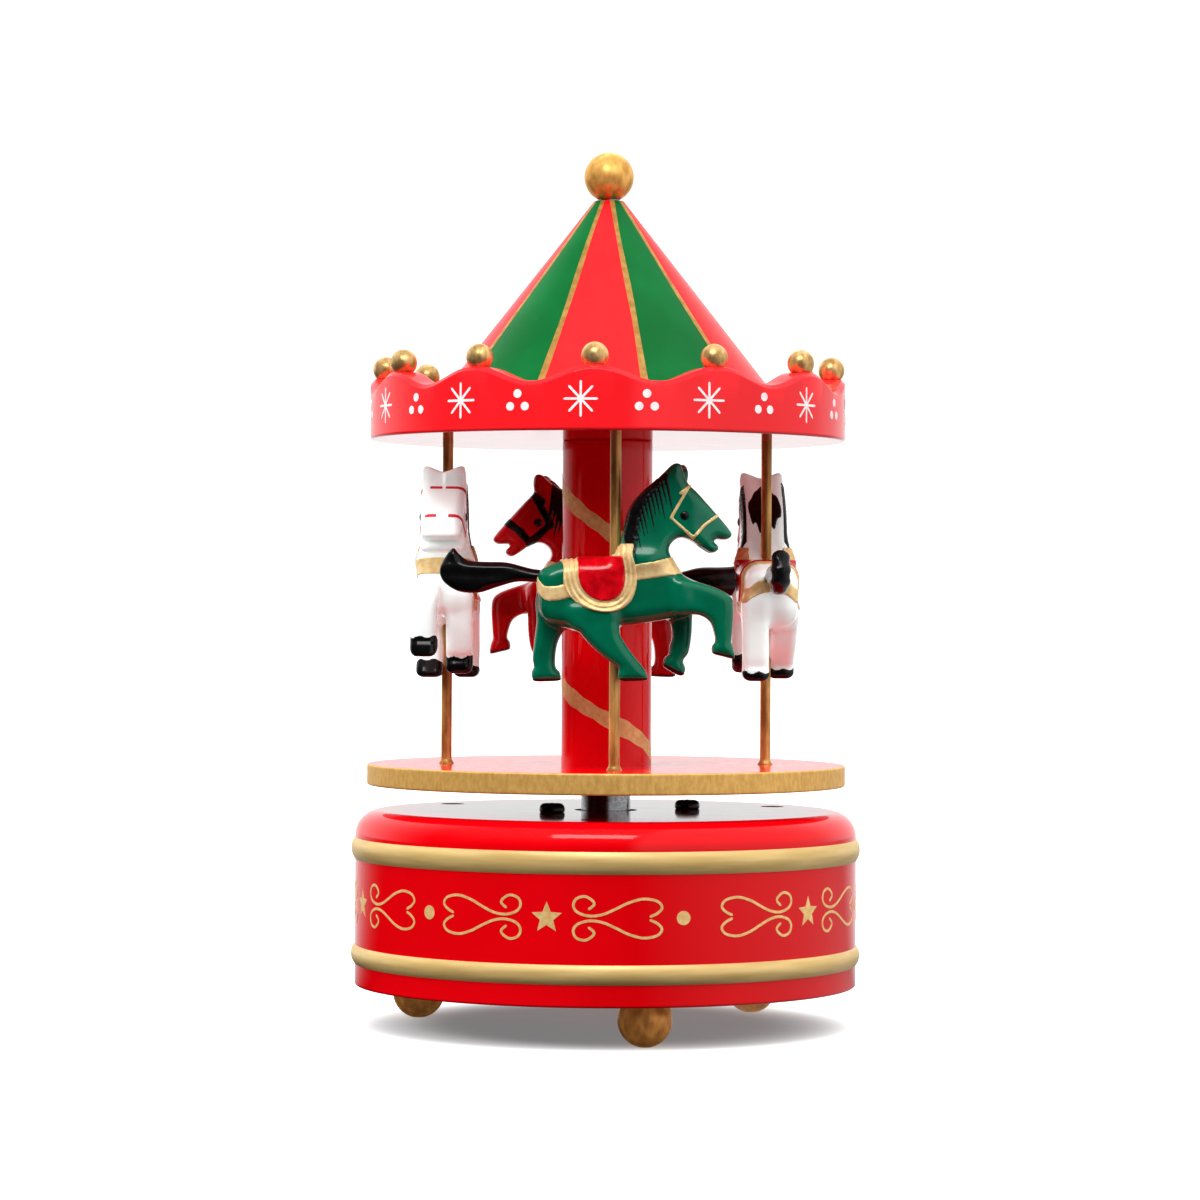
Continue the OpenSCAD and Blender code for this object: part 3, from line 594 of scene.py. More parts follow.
course = resampled(spline([(math.radians(a) * column_r, z) for a, z in RIBBON_COURSE], steps=12), 0.5)
course = course[(course[:, 1] > deck_z - RIBBON_W) & (course[:, 1] < column_top + RIBBON_W)]
ribbon_w = RIBBON_W * (1 + uneven(course[:, 0], (0.1, 0.55, 0), (0.06, 1.7, 0)))
add_piece("column_ribbon", ribbon(course, ribbon_w, clipped_wall), [print_gold], "carousel", "gold_print",
          sharp=60)

POLE_R = 1.05
POLE_ROWS = 6
FLARE_H = 0.9
FLARE_SEAT, FLARE_EDGE = 0.05, 0.15
FLARE_WAIST, FLARE_WAIST_H = 0.18, 0.6    # over the pole's radius, and as a share of the flare's height
flare_r = (pole_high.x - pole_low.x) / 2
flare_top = deck_z + FLARE_H
for node in ("front_pole", "right_pole", "rear_pole", "left_pole"):
    low, high = box_mm(node)
    middle = (low + high) / 2
    profile = (
        [(0, low.z), (POLE_R, low.z), (POLE_R, deck_z - FLARE_SEAT), (flare_r, deck_z)]
        + [(flare_r, deck_z + FLARE_EDGE), (POLE_R + FLARE_WAIST, deck_z + FLARE_H * FLARE_WAIST_H)]
        + [(POLE_R, flare_top + (high.z - flare_top) * i / POLE_ROWS) for i in range(POLE_ROWS + 1)]
        + [(0, high.z)]
    )
    pole = moved(lathe(profile, segments=40), middle.x, middle.y)
    add_piece(f"{node}_rod", pole, [pole_metal], "carousel", "pole_brass", [node])


# -------- canopy

SCALLOPS = 12
SCALLOP_STEP = 360 / SCALLOPS
SCALLOP_PHASE = -3.2
SCALLOP_DEPTH = 3.0
CREST_BREADTH = 1.12
RING_WALL = 5.6
RING_ROUND = 0.5
CHAMFER = 0.9
# Points of the ring's upper edge: how far in from its wall, and how far under the wave
RING_EDGE = [(0, CHAMFER + 0.12), (0.06, CHAMFER - 0.05), (CHAMFER - 0.12, 0.08), (CHAMFER + 0.1, 0),
             (RING_WALL - 0.35, 0), (RING_WALL - 0.1, 0.1), (RING_WALL, 0.35)]
TROUGH_FILLET = 0.4


def under_wave(drop):
    """The height of a line under the ring's upper edge, which has broad crests and rounded valleys."""
    def height(angle):
        fall = (1 - math.cos(SCALLOPS * (angle - math.radians(SCALLOP_PHASE)))) / 2
        return crest_z - SCALLOP_DEPTH * fall ** CREST_BREADTH - drop
    return height


trough_r = ring_r - RING_WALL
wall_h = crest_z - SCALLOP_DEPTH - CHAMFER - ring_z
ring_profile = (
    [(0, ring_z)]
    + arc(ring_r - RING_ROUND, ring_z + RING_ROUND, RING_ROUND, -90, 0, 5)
    + [(ring_r, ring_z + wall_h * k / 3) for k in (1, 2)]
    + [(ring_r - inset, under_wave(drop)) for inset, drop in RING_EDGE]
    + [(trough_r, roof_z + TROUGH_FILLET), (trough_r - TROUGH_FILLET, roof_z), (0, roof_z)]
)
add_piece("canopy_ring_skin", lathe(ring_profile, segments=SCALLOPS * 30), [ring_plastic_lit], "carousel",
          "red_gloss", ["canopy_ring"], sharp=20)

# Prints on the ring: a snowflake and a group of three dots under each scallop
FLAKE_ANGLE, FLAKE_Z = -6.2, ring_z + 5.9
FLAKE_R = (3.3, 3.5)    # across and up
FLAKE_LINES = 4
RAY_W, RAY_LIFT = 0.46, 0.004
DOTS_ANGLE, DOT_R = 8.9, 0.82
DOT_PLACES = [(0, ring_z + 6.95), (-1.49, ring_z + 4.55), (1.49, ring_z + 4.55)]


def ring_prints():
    for k in range(SCALLOPS):
        wall = on_wall(ring_r, FLAKE_ANGLE + SCALLOP_STEP * k)
        for ray in range(FLAKE_LINES):
            turn = math.pi / FLAKE_LINES * ray
            s, h = FLAKE_R[0] * math.cos(turn), FLAKE_R[1] * math.sin(turn)
            yield stroke([(-s, FLAKE_Z - h), (s, FLAKE_Z + h)], RAY_W, wall, lift=RAY_LIFT * ray)
        wall = on_wall(ring_r, DOTS_ANGLE + SCALLOP_STEP * k)
        for place in DOT_PLACES:
            yield disc(place, DOT_R, wall)


add_piece("ring_prints", joined(ring_prints()), [white_ink], "carousel", "white_print", sharp=60)

# Beads, sunk a little in the crests
BEAD_SUNK = 0.8
BEAD_FLAT = 0.1
bead_top = box_mm("canopy_beads")[1].z
bead_r = (bead_top - crest_z + BEAD_SUNK) / 2
bead_z = bead_top - bead_r
bead = lathe(ball(bead_r, flat_z=crest_z - bead_z - BEAD_FLAT, steps=24), segments=48)
bead_angles = [math.radians(SCALLOP_PHASE + SCALLOP_STEP * k) for k in range(SCALLOPS)]
bead_places = [around_axis(angle, ring_r - RING_WALL / 2, bead_z) for angle in bead_angles]
add_piece("ring_beads", joined(moved(bead, *place) for place in bead_places), [bead_gold], "carousel",
          "gold_paint", ["canopy_beads"])

# Roof: ten panels, red and green in turn, with gold lines between them
PANELS = 10
PANEL_STEPS = 20
FIRST_LINE = 12.7
ROOF_TIP_R = 2.9
ROOF_ROWS = 10
ROOF_SEAT = 0.02
roof_h = roof_top - roof_z
slope = (roof_r - ROOF_TIP_R) / roof_h
roof_profile = (
    [(0, roof_z + ROOF_SEAT), (roof_r, roof_z + ROOF_SEAT)]
    + [(roof_r - slope * roof_h * i / ROOF_ROWS, roof_z + roof_h * i / ROOF_ROWS)
       for i in range(1, ROOF_ROWS + 1)]
    + [(0, roof_top)]
)
roof_steps = PANELS * PANEL_STEPS
roof = lathe(roof_profile, segments=roof_steps, first=FIRST_LINE)
panel_paint = [i % roof_steps // PANEL_STEPS % 2 for i in range(len(roof[1]))]
add_piece("roof_cone", roof, [roof_green, roof_red], "carousel", "roof_panels", ["canopy_roof"],
          face_paint=panel_paint)


def on_roof(degrees):
    """Places (offset across a line, height) on the cone."""
    def place(s, h, lift):
        r = roof_r - slope * (h - roof_z)
        return around_axis(math.radians(degrees) + s / r, r + lift, h + lift * slope)
    return place


LINE_W, LINE_TAPER = 1.4, 0.62
LINE_POINTS = 40
line_heights = np.linspace(roof_z + 0.1, roof_top - 0.05, LINE_POINTS)


def roof_lines():
    for k in range(PANELS):
        drift = uneven(line_heights, (0.12, 0.19, 2.1 * k))
        widths = LINE_W * (1 + uneven(line_heights, (0.1, 0.31, 1.3 * k)))
        path = np.stack([drift, line_heights], axis=1)
        taper = np.linspace(1, LINE_TAPER, LINE_POINTS)
        yield ribbon(path, widths * taper, on_roof(FIRST_LINE + 360 / PANELS * k))


add_piece("roof_lines", joined(roof_lines()), [line_gold], "carousel", "gold_print", sharp=60)

# Finial ball, seated a little way in the roof's tip
FINIAL_SEAT = 0.05
finial_low, finial_high = box_mm("finial")
finial_r = (finial_high.x - finial_low.x) / 2
finial_z = finial_high.z - finial_r
finial_ball = lathe(ball(finial_r, flat_z=finial_low.z - finial_z - FINIAL_SEAT), segments=96)
add_piece("finial_ball", moved(finial_ball, 0, 0, finial_z), [ball_gold], "carousel", "gold_paint",
          ["finial"])


# -------- horses
# A horse's own frame: u runs forward from its pole, y is positive on the side towards the column, and h is
# the height above the platform. Its shapes are distance fields in millimetres, negative inside.

BODY = [
    (12.7, 37.7), (10.6, 40.3), (6.5, 41.9), (2.5, 41.6), (-2, 40.4), (-7.2, 40.2), (-10.4, 40),
    (-12.5, 39.3), (-14.3, 38.3), (-14.9, 36.8), (-14.7, 33.5), (-14.4, 30.5), (-12.5, 28), (-8.6, 27.2),
    (-3.5, 27.4), (0.4, 27.75), (4.4, 28.1), (10.35, 29.1), (13.5, 29.9), (15.4, 31.5), (15.6, 34.8),
    (14.3, 36.4),
]
HEAD = [
    (10, 42.3), (9.6, 40.4), (5.5, 39.2), (0.6, 40.6), (0.9, 43.4), (1.5, 46), (3, 50.6), (5.4, 53.6),
    (8.3, 55.9), (10.5, 57.8), (11.6, 59.2), (12.9, 59.2), (13.4, 57.2), (13.8, 55), (15.4, 53.4),
    (17.6, 51), (20, 48.3), (22, 45.9), (22.2, 45.1), (21.4, 44.4), (20.2, 44.35), (19.2, 44.4),
    (18.75, 43.9), (19.3, 43.35), (19.7, 42.8), (19.3, 42.1), (18.3, 41.75), (16.6, 42.7), (14.4, 44.2),
    (12.3, 44.65), (10.7, 43.7),
]
RAISED_FORELEG = [
    (11, 36.2), (14.3, 36.4), (19, 35.05), (21.6, 33.7), (22.4, 31.8), (22.3, 28), (22.1, 25.3),
    (22.05, 24.7), (22.5, 23.6), (22.75, 21.9), (22.3, 21.6), (20.6, 22), (18.7, 22.5), (18.4, 23.2),
    (18.6, 24.2), (19.05, 24.75), (18.95, 26), (18.1, 28.4), (16.3, 29.7), (14.2, 30), (11, 30.4),
]
FOLDED_FORELEG = [
    (9.8, 34), (15, 34), (15, 29.5), (14.85, 25.8), (14.3, 22.6), (13.3, 21.1), (13.75, 19.7), (13.5, 18.5),
    (12.7, 18.2), (11.2, 18.9), (9.7, 19.9), (9.5, 20.8), (9.9, 21.7), (10.6, 22.3), (10.7, 23.6),
    (11.2, 25.8), (10.8, 28.6), (9.6, 30.4),
]
FORWARD_HINDLEG = [
    (-9, 31.5), (-1, 31.5), (0.6, 27.6), (0.8, 26), (2.3, 23.5), (4.1, 21.2), (4.6, 20.6), (5.5, 19.4),
    (6.1, 18), (5.7, 17.4), (3, 17.25), (1, 17.3), (0.4, 18.2), (0.55, 19.2), (0.35, 19.8), (-1.2, 20.9),
    (-3.6, 22.8), (-5.6, 24.8), (-6.9, 26.4), (-8.6, 27.6),
]
BACK_HINDLEG = [
    (-14.6, 33.5), (-9.5, 33), (-8.6, 29), (-9.8, 26.7), (-10.9, 24.4), (-11.35, 21.6), (-11.2, 19.6),
    (-10.6, 19), (-10.2, 17.9), (-10.5, 17.2), (-13, 17), (-15.3, 17.05), (-15.8, 17.8), (-15.75, 19.1),
    (-15.4, 19.7), (-15.65, 21.4), (-15.4, 24.1), (-14.9, 28.4),
]
LEGS = ((RAISED_FORELEG, -1), (FOLDED_FORELEG, 1), (FORWARD_HINDLEG, -1), (BACK_HINDLEG, 1))    # and its side
TAIL = [
    (-12.5, 37), (-14, 38.2), (-16, 38.55), (-17.8, 39), (-21, 39.75), (-25.5, 39.85), (-28.3, 40.15),
    (-30, 41.4), (-31, 42.5), (-32.1, 41.4), (-33.3, 39.4), (-33.6, 38.2), (-33.4, 36.9), (-32.6, 35.7),
    (-31.2, 34.7), (-29.3, 34), (-26.1, 33.9), (-22.9, 34.9), (-19.1, 36), (-16, 36), (-13.8, 35.9),
]
SADDLE_TRIM = [
    (-10, 42.5), (-10.1, 39), (-10.1, 35.7), (-9.4, 33.9), (-7.8, 32.2), (-5.3, 30.9), (-2, 30.3),
    (1.2, 31), (3.1, 32.9), (3.9, 35.7), (3.6, 38.8), (3, 41.2), (2.2, 44.5),
]
SADDLE_SEAT = [
    (-7.3, 44), (-7.35, 39.6), (-7.2, 36.6), (-6.3, 34.5), (-4.4, 32.9), (-2, 32.4), (0.2, 33.2),
    (1.4, 35.2), (1.6, 38), (1.1, 40.8), (0.4, 44),
]
BREAST_STRAP = [
    (2.5, 39.3), (7, 40), (10.4, 40.9), (12.6, 41.5), (12.9, 37.7), (9.5, 37.2), (6.5, 36.7), (2.5, 36.2),
]
CRUPPER_STRAP = [
    (-16, 35.3), (-13.9, 35), (-11, 35.4), (-8, 36.3), (-7.4, 33.3), (-10.8, 32.5), (-13.5, 32.2),
    (-16, 32.3),
]
BRIDLE = [((14.2, 54.6), (12.2, 53.1)), ((13.6, 54), (10.4, 48.4)), ((10.4, 48.4), (14.7, 44.6)),
          ((14.7, 44.6), (16.8, 47)), ((16.8, 47), (19.6, 49.1))]
# Each hoof: back and front of its sole, front and back of the crease above it
HOOVES = [((18.6, 22.4), (22.9, 21.4), (22.5, 24.9), (18.8, 23.6)),
          ((9.5, 20), (13.6, 18.1), (14, 20.6), (10.3, 21.2)),
          ((0.6, 17.2), (6.3, 17.2), (4.9, 20.2), (0.4, 18.2)),
          ((-15.7, 17), (-10.2, 17), (-10.8, 18.9), (-15.7, 17.9))]
CREST = [(1.3, 43.6), (1.7, 46), (3, 50.2), (5, 53), (7.4, 55.2), (9, 56.2)]
EYE, EYE_R = (13, 48.8), 0.9

# Half widths across y, with the radius of their edges and how far their flat sides reach
BODY_HALF, BODY_EDGE, BODY_FLAT = 5.2, 3.0, 2.0
HEAD_HALF, HEAD_EDGE, HEAD_FLAT = 4.4, 1.6, 2.5
LEG_HALF, LEG_EDGE, LEG_FLAT = 2.6, 1.4, 1.1
TAIL_HALF, TAIL_EDGE, TAIL_FLAT = 1.85, 1.7, 0.3

# Where its parts change, how they meet, and how its details are made
LEG_CENTRE = 3.2
NECK_FILLET, LEG_FILLET, EAR_FILLET = 2.4, 1.3, 0.6
MUZZLE_HALF, MUZZLE_U = 3.6, (14, 22)
NECK_WIDENING, NECK_H = 0.18, (-47, -40)
EAR_Y, EAR_LEAN = 3.3, 0.2
EAR_SPLIT_H, EAR_LEAN_H = (54, 56), (54, 58)
NOTCH_H, NOTCH_SLOPE = 57.5, 0.42
TAIL_MIDDLE, TAIL_BEND, TAIL_BEND_U = 37.3, 0.0018, -22
GROOVE_DEPTH, GROOVE_RATE, GROOVES_U = 0.13, 2.4, (17, 25)
CREST_R, MANE_PROUD = 0.6, 0.12
MANE_LOW, MANE_HIGH = 46.2, 56.2
MANE_RAGGED, MANE_RAG_RATE = 0.8, 4.2
HAIR_STEP, HAIR_ROOT, HAIR_LEAN, HAIR_TIP = 0.9, 0.3, 0.2, 0.08
HAIR_SWING, HAIR_SWING_RATE = 1.4, 2.4
HOOF_R, HOOF_RAGGED, SOLE_R = 0.8, 0.22, 0.6
CRUPPER_RISE = 2.2
SEAT_TOP, TRIM_TOP = 41, 43.4
SEAT_PROUD = 0.7
TRIM_PROUD, TRIM_RIDGE, TRIM_RIDGE_W = 0.34, 0.15, 0.95
TRIM_LAP, TRIM_OPEN = 0.3, 3.4
BROW_H = 51
BROW_GAPS, NOSE_GAPS = ((0.15, 0.25), (-3.5, 0.9)), ((0.1, 1.1), (-3.9, 0.6))    # middle y and half width
GAP_FADE, CHEEK_Y = 0.9, (4.0, 4.3)
THIN_BRIDLE_HALF = 0.38
FAR = 1e9


def smoothstep(x, start, end):
    t = np.clip((x - start) / (end - start), 0, 1)
    return t * t * (3 - 2 * t)


def nearest(fields):
    """Union of fields: the least of them at each point."""
    least = FAR
    for field in fields:
        least = np.minimum(least, field)
    return least


def outline_distance(outline, u, h):
    """Signed distance to a closed outline in the (u, h) plane."""
    best = np.full(np.broadcast(u, h).shape, FAR)
    inside = np.zeros(best.shape, bool)
    for (au, ah), (bu, bh) in zip(outline, np.roll(outline, -1, axis=0)):
        du, dh = bu - au, bh - ah
        t = np.clip(((u - au) * du + (h - ah) * dh) / max(du * du + dh * dh, 1e-12), 0, 1)
        best = np.minimum(best, (u - au - t * du) ** 2 + (h - ah - t * dh) ** 2)
        if abs(dh) > 1e-12:
            inside ^= ((ah > h) != (bh > h)) & (u < au + (h - ah) * du / dh)
    return np.where(inside, -1, 1) * np.sqrt(best)


def smooth_distance(points, u, h):
    return outline_distance(spline(points, steps=5, loop=True), u, h)


def line_distance(start, end, start_r, end_r, u, h):
    """Distance to a tapered stroke from start to end."""
    du, dh = end[0] - start[0], end[1] - start[1]
    t = np.clip(((u - start[0]) * du + (h - start[1]) * dh) / (du * du + dh * dh), 0, 1)
    return np.hypot(u - start[0] - t * du, h - start[1] - t * dh) - start_r - t * (end_r - start_r)


def rounded_slab(distance, y, half, edge, flat):
    """An outline given thickness: flat sides out to `flat`, rounded from there to `half`."""
    across = np.maximum(np.abs(y) - flat, 0) * edge / (half - flat)
    return np.hypot(np.maximum(distance + edge, 0), across) - edge


def blended(a, b, reach):
    """Union of two fields with a fillet."""
    mix = np.maximum(reach - np.abs(a - b), 0) / reach
    return np.minimum(a, b) - mix * mix * reach / 4


def horse_head(u, y, h):
    """Head and neck: narrower at the muzzle, wider at the neck's foot, with ears that lean outwards and a
    notch between them."""
    outline = spline(HEAD, steps=5, loop=True)
    lean = EAR_LEAN * EAR_Y * smoothstep(h, *EAR_LEAN_H)
    ears = np.where(y < 0, outline_distance(outline, u + lean, h), outline_distance(outline, u - lean, h))
    ear_share = smoothstep(h, *EAR_SPLIT_H)
    side = outline_distance(outline, u, h) * (1 - ear_share) + ears * ear_share
    narrow = HEAD_HALF / (HEAD_HALF + (MUZZLE_HALF - HEAD_HALF) * smoothstep(u, *MUZZLE_U))
    widen = 1 - NECK_WIDENING * smoothstep(-h, *NECK_H)
    head = rounded_slab(side, y * narrow * widen, HEAD_HALF, HEAD_EDGE, HEAD_FLAT)
    notch = (NOTCH_H + NOTCH_SLOPE * np.sqrt(y * y + 0.25) - h) * 0.92
    return -blended(-head, notch, EAR_FILLET)


def horse_body(u, y, h):
    body = rounded_slab(smooth_distance(BODY, u, h), y, BODY_HALF, BODY_EDGE, BODY_FLAT)
    shape = blended(body, horse_head(u, y, h), NECK_FILLET)
    for outline, side in LEGS:
        across = y - side * LEG_CENTRE
        leg = rounded_slab(smooth_distance(outline, u, h), across, LEG_HALF, LEG_EDGE, LEG_FLAT)
        shape = blended(shape, leg, LEG_FILLET)
    return shape


def horse_tail(u, y, h):
    middle = TAIL_MIDDLE + TAIL_BEND * (u - TAIL_BEND_U) ** 2
    grooves = GROOVE_DEPTH * np.cos((h - middle) * GROOVE_RATE) * smoothstep(-u, *GROOVES_U)
    slab = rounded_slab(smooth_distance(TAIL, u, h), y, TAIL_HALF, TAIL_EDGE, TAIL_FLAT)
    return slab + grooves * smoothstep(np.abs(y), 0.3, 1.2)


def mane(drop_half, stroke_from, stroke_half, reach):
    """A black drop down the crest, and strokes down both sides of the neck, outside `stroke_from`."""
    def hair(u, h):
        for i, root in enumerate(resampled(spline(CREST), HAIR_STEP)[1:]):
            length = reach + HAIR_SWING * math.sin(HAIR_SWING_RATE * i)
            start = root + HAIR_ROOT
            end = start + (HAIR_LEAN * length, -length)
            yield line_distance(start, end, stroke_half, HAIR_TIP, u, h)

    def shape(u, y, h):
        crest = spline(CREST)
        drop = nearest(line_distance(*ends, CREST_R, CREST_R, u, h) for ends in zip(crest, crest[1:]))
        low = MANE_LOW + MANE_RAGGED * np.sin(MANE_RAG_RATE * y)
        share = np.clip((h - low) / (MANE_HIGH - low), 0, 1)
        drop = np.maximum(drop, np.abs(y) - drop_half * np.sin(math.pi * share) ** 0.8)
        strokes = np.maximum(nearest(hair(u, h)), stroke_from - np.abs(y))
        return np.maximum(horse_body(u, y, h) - MANE_PROUD, np.minimum(drop, strokes))
    return shape


def near_region(region, proud):
    """A coat of paint or a raised detail: the body made thicker by `proud`, kept where region is negative."""
    return lambda u, y, h: np.maximum(horse_body(u, y, h) - proud, region(u, y, h))


def hoof_region(u, y, h):
    hooves = nearest(outline_distance(corners, u, h) - HOOF_R for corners in HOOVES)
    return hooves + HOOF_RAGGED * np.sin(2.3 * y + 0.9 * u)


def sole_region(u, y, h):
    return nearest(line_distance(*corners[:2], SOLE_R, SOLE_R, u, h) for corners in HOOVES)


def bridle_region(half):
    return lambda u, y, h: nearest(line_distance(*ends, half, half * 1.15, u, h) for ends in BRIDLE)


def strap_region(u, y, h):
    """The breast strap and the one round the rump, which rises to pass under the tail."""
    rise = CRUPPER_RISE * smoothstep(-u, 12, 15) * np.clip(1 - (y / BODY_HALF) ** 2, 0, 1)
    return np.minimum(outline_distance(BREAST_STRAP, u, h), outline_distance(CRUPPER_STRAP, u, h - rise))


def broken_bridle(u, y, h):
    """The thin painted bridle of a white horse, with gaps on the front of its face."""
    brow, nose = (np.maximum(*(half - np.abs(y - middle) for middle, half in gaps))
                  for gaps in (BROW_GAPS, NOSE_GAPS))
    gap = np.where(h > BROW_H, brow, nose) - GAP_FADE * smoothstep(np.abs(y), *CHEEK_Y)
    return np.maximum(bridle_region(THIN_BRIDLE_HALF)(u, y, h), gap)


def saddle_trim(u, y, h):
    """A ridged blanket under the seat, open across the horse's back."""
    seat = smooth_distance(SADDLE_SEAT, u, h)
    ridges = TRIM_PROUD + TRIM_RIDGE * np.cos(TAU * seat / TRIM_RIDGE_W)
    across_top = np.minimum(h - SEAT_TOP + TRIM_LAP, TRIM_OPEN - np.abs(y))
    outside = np.maximum(np.maximum(smooth_distance(SADDLE_TRIM, u, h), h - TRIM_TOP), across_top)
    return np.maximum(horse_body(u, y, h) - ridges, outside)


def saddle_seat(u, y, h):
    swell = horse_body(u, y, h) - SEAT_PROUD
    return np.maximum(np.maximum(swell, h - SEAT_TOP), smooth_distance(SADDLE_SEAT, u, h))


def surface_net(field, low, step):
    """Closed quad mesh of the surface on which a field on an even grid is zero."""
    cells = tuple(n - 1 for n in field.shape)
    total, hits = np.zeros(cells + (3,)), np.zeros(cells)
    inside = field < 0
    crossings = []
    for axis in range(3):
        ahead, behind = [slice(None)] * 3, [slice(None)] * 3
        ahead[axis], behind[axis] = slice(1, None), slice(None, -1)
        near, far = field[tuple(behind)], field[tuple(ahead)]
        cross = inside[tuple(behind)] != inside[tuple(ahead)]
        share = np.where(cross, near / np.where(cross, near - far, 1), 0)
        others = [a for a in range(3) if a != axis]
        for first, second in ((0, 0), (0, 1), (1, 0), (1, 1)):
            pick = [slice(None)] * 3
            for other, offset in zip(others, (first, second)):
                pick[other] = slice(offset, offset + cells[other])
            here = cross[tuple(pick)]
            total[..., axis] += np.where(here, share[tuple(pick)], 0)
            total[..., others[0]] += here * first
            total[..., others[1]] += here * second
            hits += here
        crossings.append((cross, inside[tuple(behind)], axis, others))
    used = hits > 0
    index = np.full(cells, -1)
    index[used] = np.arange(used.sum())
    vertices = (np.argwhere(used) + total[used] / hits[used][:, None]) * step + np.asarray(low)
    quads = []
    for cross, starts_inside, axis, others in crossings:
        at = np.argwhere(cross)
        beside = at[:, others]
        at = at[((beside > 0) & (beside < np.take(cells, others))).all(axis=1)]
        one, two = np.eye(3, dtype=int)[others]
        quad = np.stack([index[tuple((at - shift).T)] for shift in (0 * one, one, one + two, two)], axis=1)
        outward = starts_inside[tuple(at.T)] ^ (axis == 1)
        quads.append(np.where(outward[:, None], quad, quad[:, ::-1]))
    return vertices, np.vstack(quads).tolist()


def relaxed(vertices, faces):
    """Moves each vertex half way to the mean of its neighbours, which evens out the grid's steps."""
    quads = np.asarray(faces)
    pairs = np.vstack([quads[:, [k, (k + 1) % 4]] for k in range(4)])
    count = np.bincount(pairs.ravel(), minlength=len(vertices))[:, None]
    total = np.zeros_like(vertices)
    np.add.at(total, pairs[:, 0], vertices[pairs[:, 1]])
    np.add.at(total, pairs[:, 1], vertices[pairs[:, 0]])
    return 0.5 * vertices + 0.5 * total / count


def solid(shape, low, high, step):
    u, y, h = (np.arange(a, b + step, step) for a, b in zip(low, high))
    field = shape(u[:, None, None], y[None, :, None], h[None, None, :])
    vertices, faces = surface_net(field, low, step)
    return relaxed(vertices, faces), faces


def horse_eye(side):
    vertices, faces = lathe(ball(EYE_R, steps=16), segments=24)
    across = side * (HEAD_HALF - 0.1)
    return [(EYE[0] + vx, across + 0.5 * side * vz, EYE[1] + vy * side) for vx, vy, vz in vertices], faces


# Boxes (u, y, h) that hold the whole horse and its details
HORSE_LOW, HORSE_SIDE = (-17.5, -7.2, 15.5), 7.2
HEAD_BOX = ((8, -6, 42), (23, 6, 57))
MANE_BOX, LONG_MANE_BOX = ((-0.5, -6, 38), (14, 6, 60)), ((-0.5, -6, 34), (14, 6, 60))
shapes = {
    "body": solid(horse_body, HORSE_LOW, (24.5, HORSE_SIDE, 61), step=0.34),
    "tail": solid(horse_tail, (-35, -3, 32.5), (-11, 3, 44), step=0.25),
    "mane": solid(mane(3.5, stroke_from=2.8, stroke_half=0.42, reach=6.6), *MANE_BOX, step=0.2),
    "narrow_mane": solid(mane(3.4, stroke_from=3.7, stroke_half=0.34, reach=6), *MANE_BOX, step=0.2),
    "full_mane": solid(mane(3.5, stroke_from=2.8, stroke_half=0.85, reach=9), *LONG_MANE_BOX, step=0.2),
    "hooves": solid(near_region(hoof_region, proud=0.08), HORSE_LOW, (24.5, HORSE_SIDE, 26.5), step=0.28),
    "soles": solid(near_region(sole_region, proud=0.07), HORSE_LOW, (24.5, HORSE_SIDE, 24), step=0.28),
    "gold_bridle": solid(near_region(bridle_region(0.3), proud=0.14), *HEAD_BOX, step=0.2),
    "thin_bridle": solid(near_region(broken_bridle, proud=0.08), *HEAD_BOX, step=0.18),
    "wide_bridle": solid(near_region(bridle_region(0.8), proud=0.08), *HEAD_BOX, step=0.22),
    "straps": solid(near_region(strap_region, proud=0.16), (-17.5, -7.2, 31), (15, 7.2, 43), step=0.26),
    "saddle_trim": solid(saddle_trim, (-11.5, -7.4, 29), (5.5, 7.4, 46), step=0.24),
    "saddle_seat": solid(saddle_seat, (-9, -7.4, 31), (3, 7.4, 46), step=0.26),
    "eyes": joined(horse_eye(side) for side in (-1, 1)),
}
BLACK, GOLD, RED = (black_paint, "black_paint"), (trim_gold, "gold_paint"), (red_ink, "saddle_red")
COMMON = {"tail": BLACK, "eyes": BLACK, "straps": GOLD, "saddle_trim": GOLD,
          "saddle_seat": (saddle_paint, "saddle_red")}
WHITE_HORSE = {"body": (horse_white, "horse_white"), "hooves": BLACK, "narrow_mane": BLACK,
               "thin_bridle": RED}
HORSES = {
    "front": {"body": (horse_green, "horse_green"), "soles": BLACK, "mane": BLACK, "gold_bridle": GOLD},
    "right": WHITE_HORSE,
    "rear": {"body": (horse_red, "horse_red"), "soles": BLACK, "full_mane": BLACK, "wide_bridle": BLACK},
    "left": WHITE_HORSE,
}
OUTWARD_TURN = {"left": -4.0}


def turned_z(degrees):
    return Matrix.Rotation(math.radians(degrees), 4, "Z")


for k, (side, own) in enumerate(HORSES.items()):
    at_pole = Matrix.Translation((0, -pole_circle_r * MM, deck_z * MM))
    stand = turned_z(pole_phase + 90 * k) @ at_pole @ turned_z(OUTWARD_TURN.get(side, 0))
    for part, (finish, slot) in {**COMMON, **own}.items():
        add_piece(f"{side}_horse_{part}", shapes[part], [finish], "carousel", slot,
                  [f"{side}_horse"] if part == "body" else (), sharp=180, place=stand)


# -------- finishes of the CAD parts that stay

STAY = {"black_screw": screw_black, "zinc": zinc, "steel": steel, "brass": brass,
        "inner_plastic": inner_plastic}
for part in frame["record"]["subparts"]:
    finish = STAY.get(part["material_slot"])
    if finish is not None:
        for each in frame["nodes"][part["node"]].material_slots:
            each.material = finish


# -------- floor, light and camera
# Mirror images and bounced light see the floor and the room dimmer than the camera does, as in a studio
# where black cards stand just outside the picture.

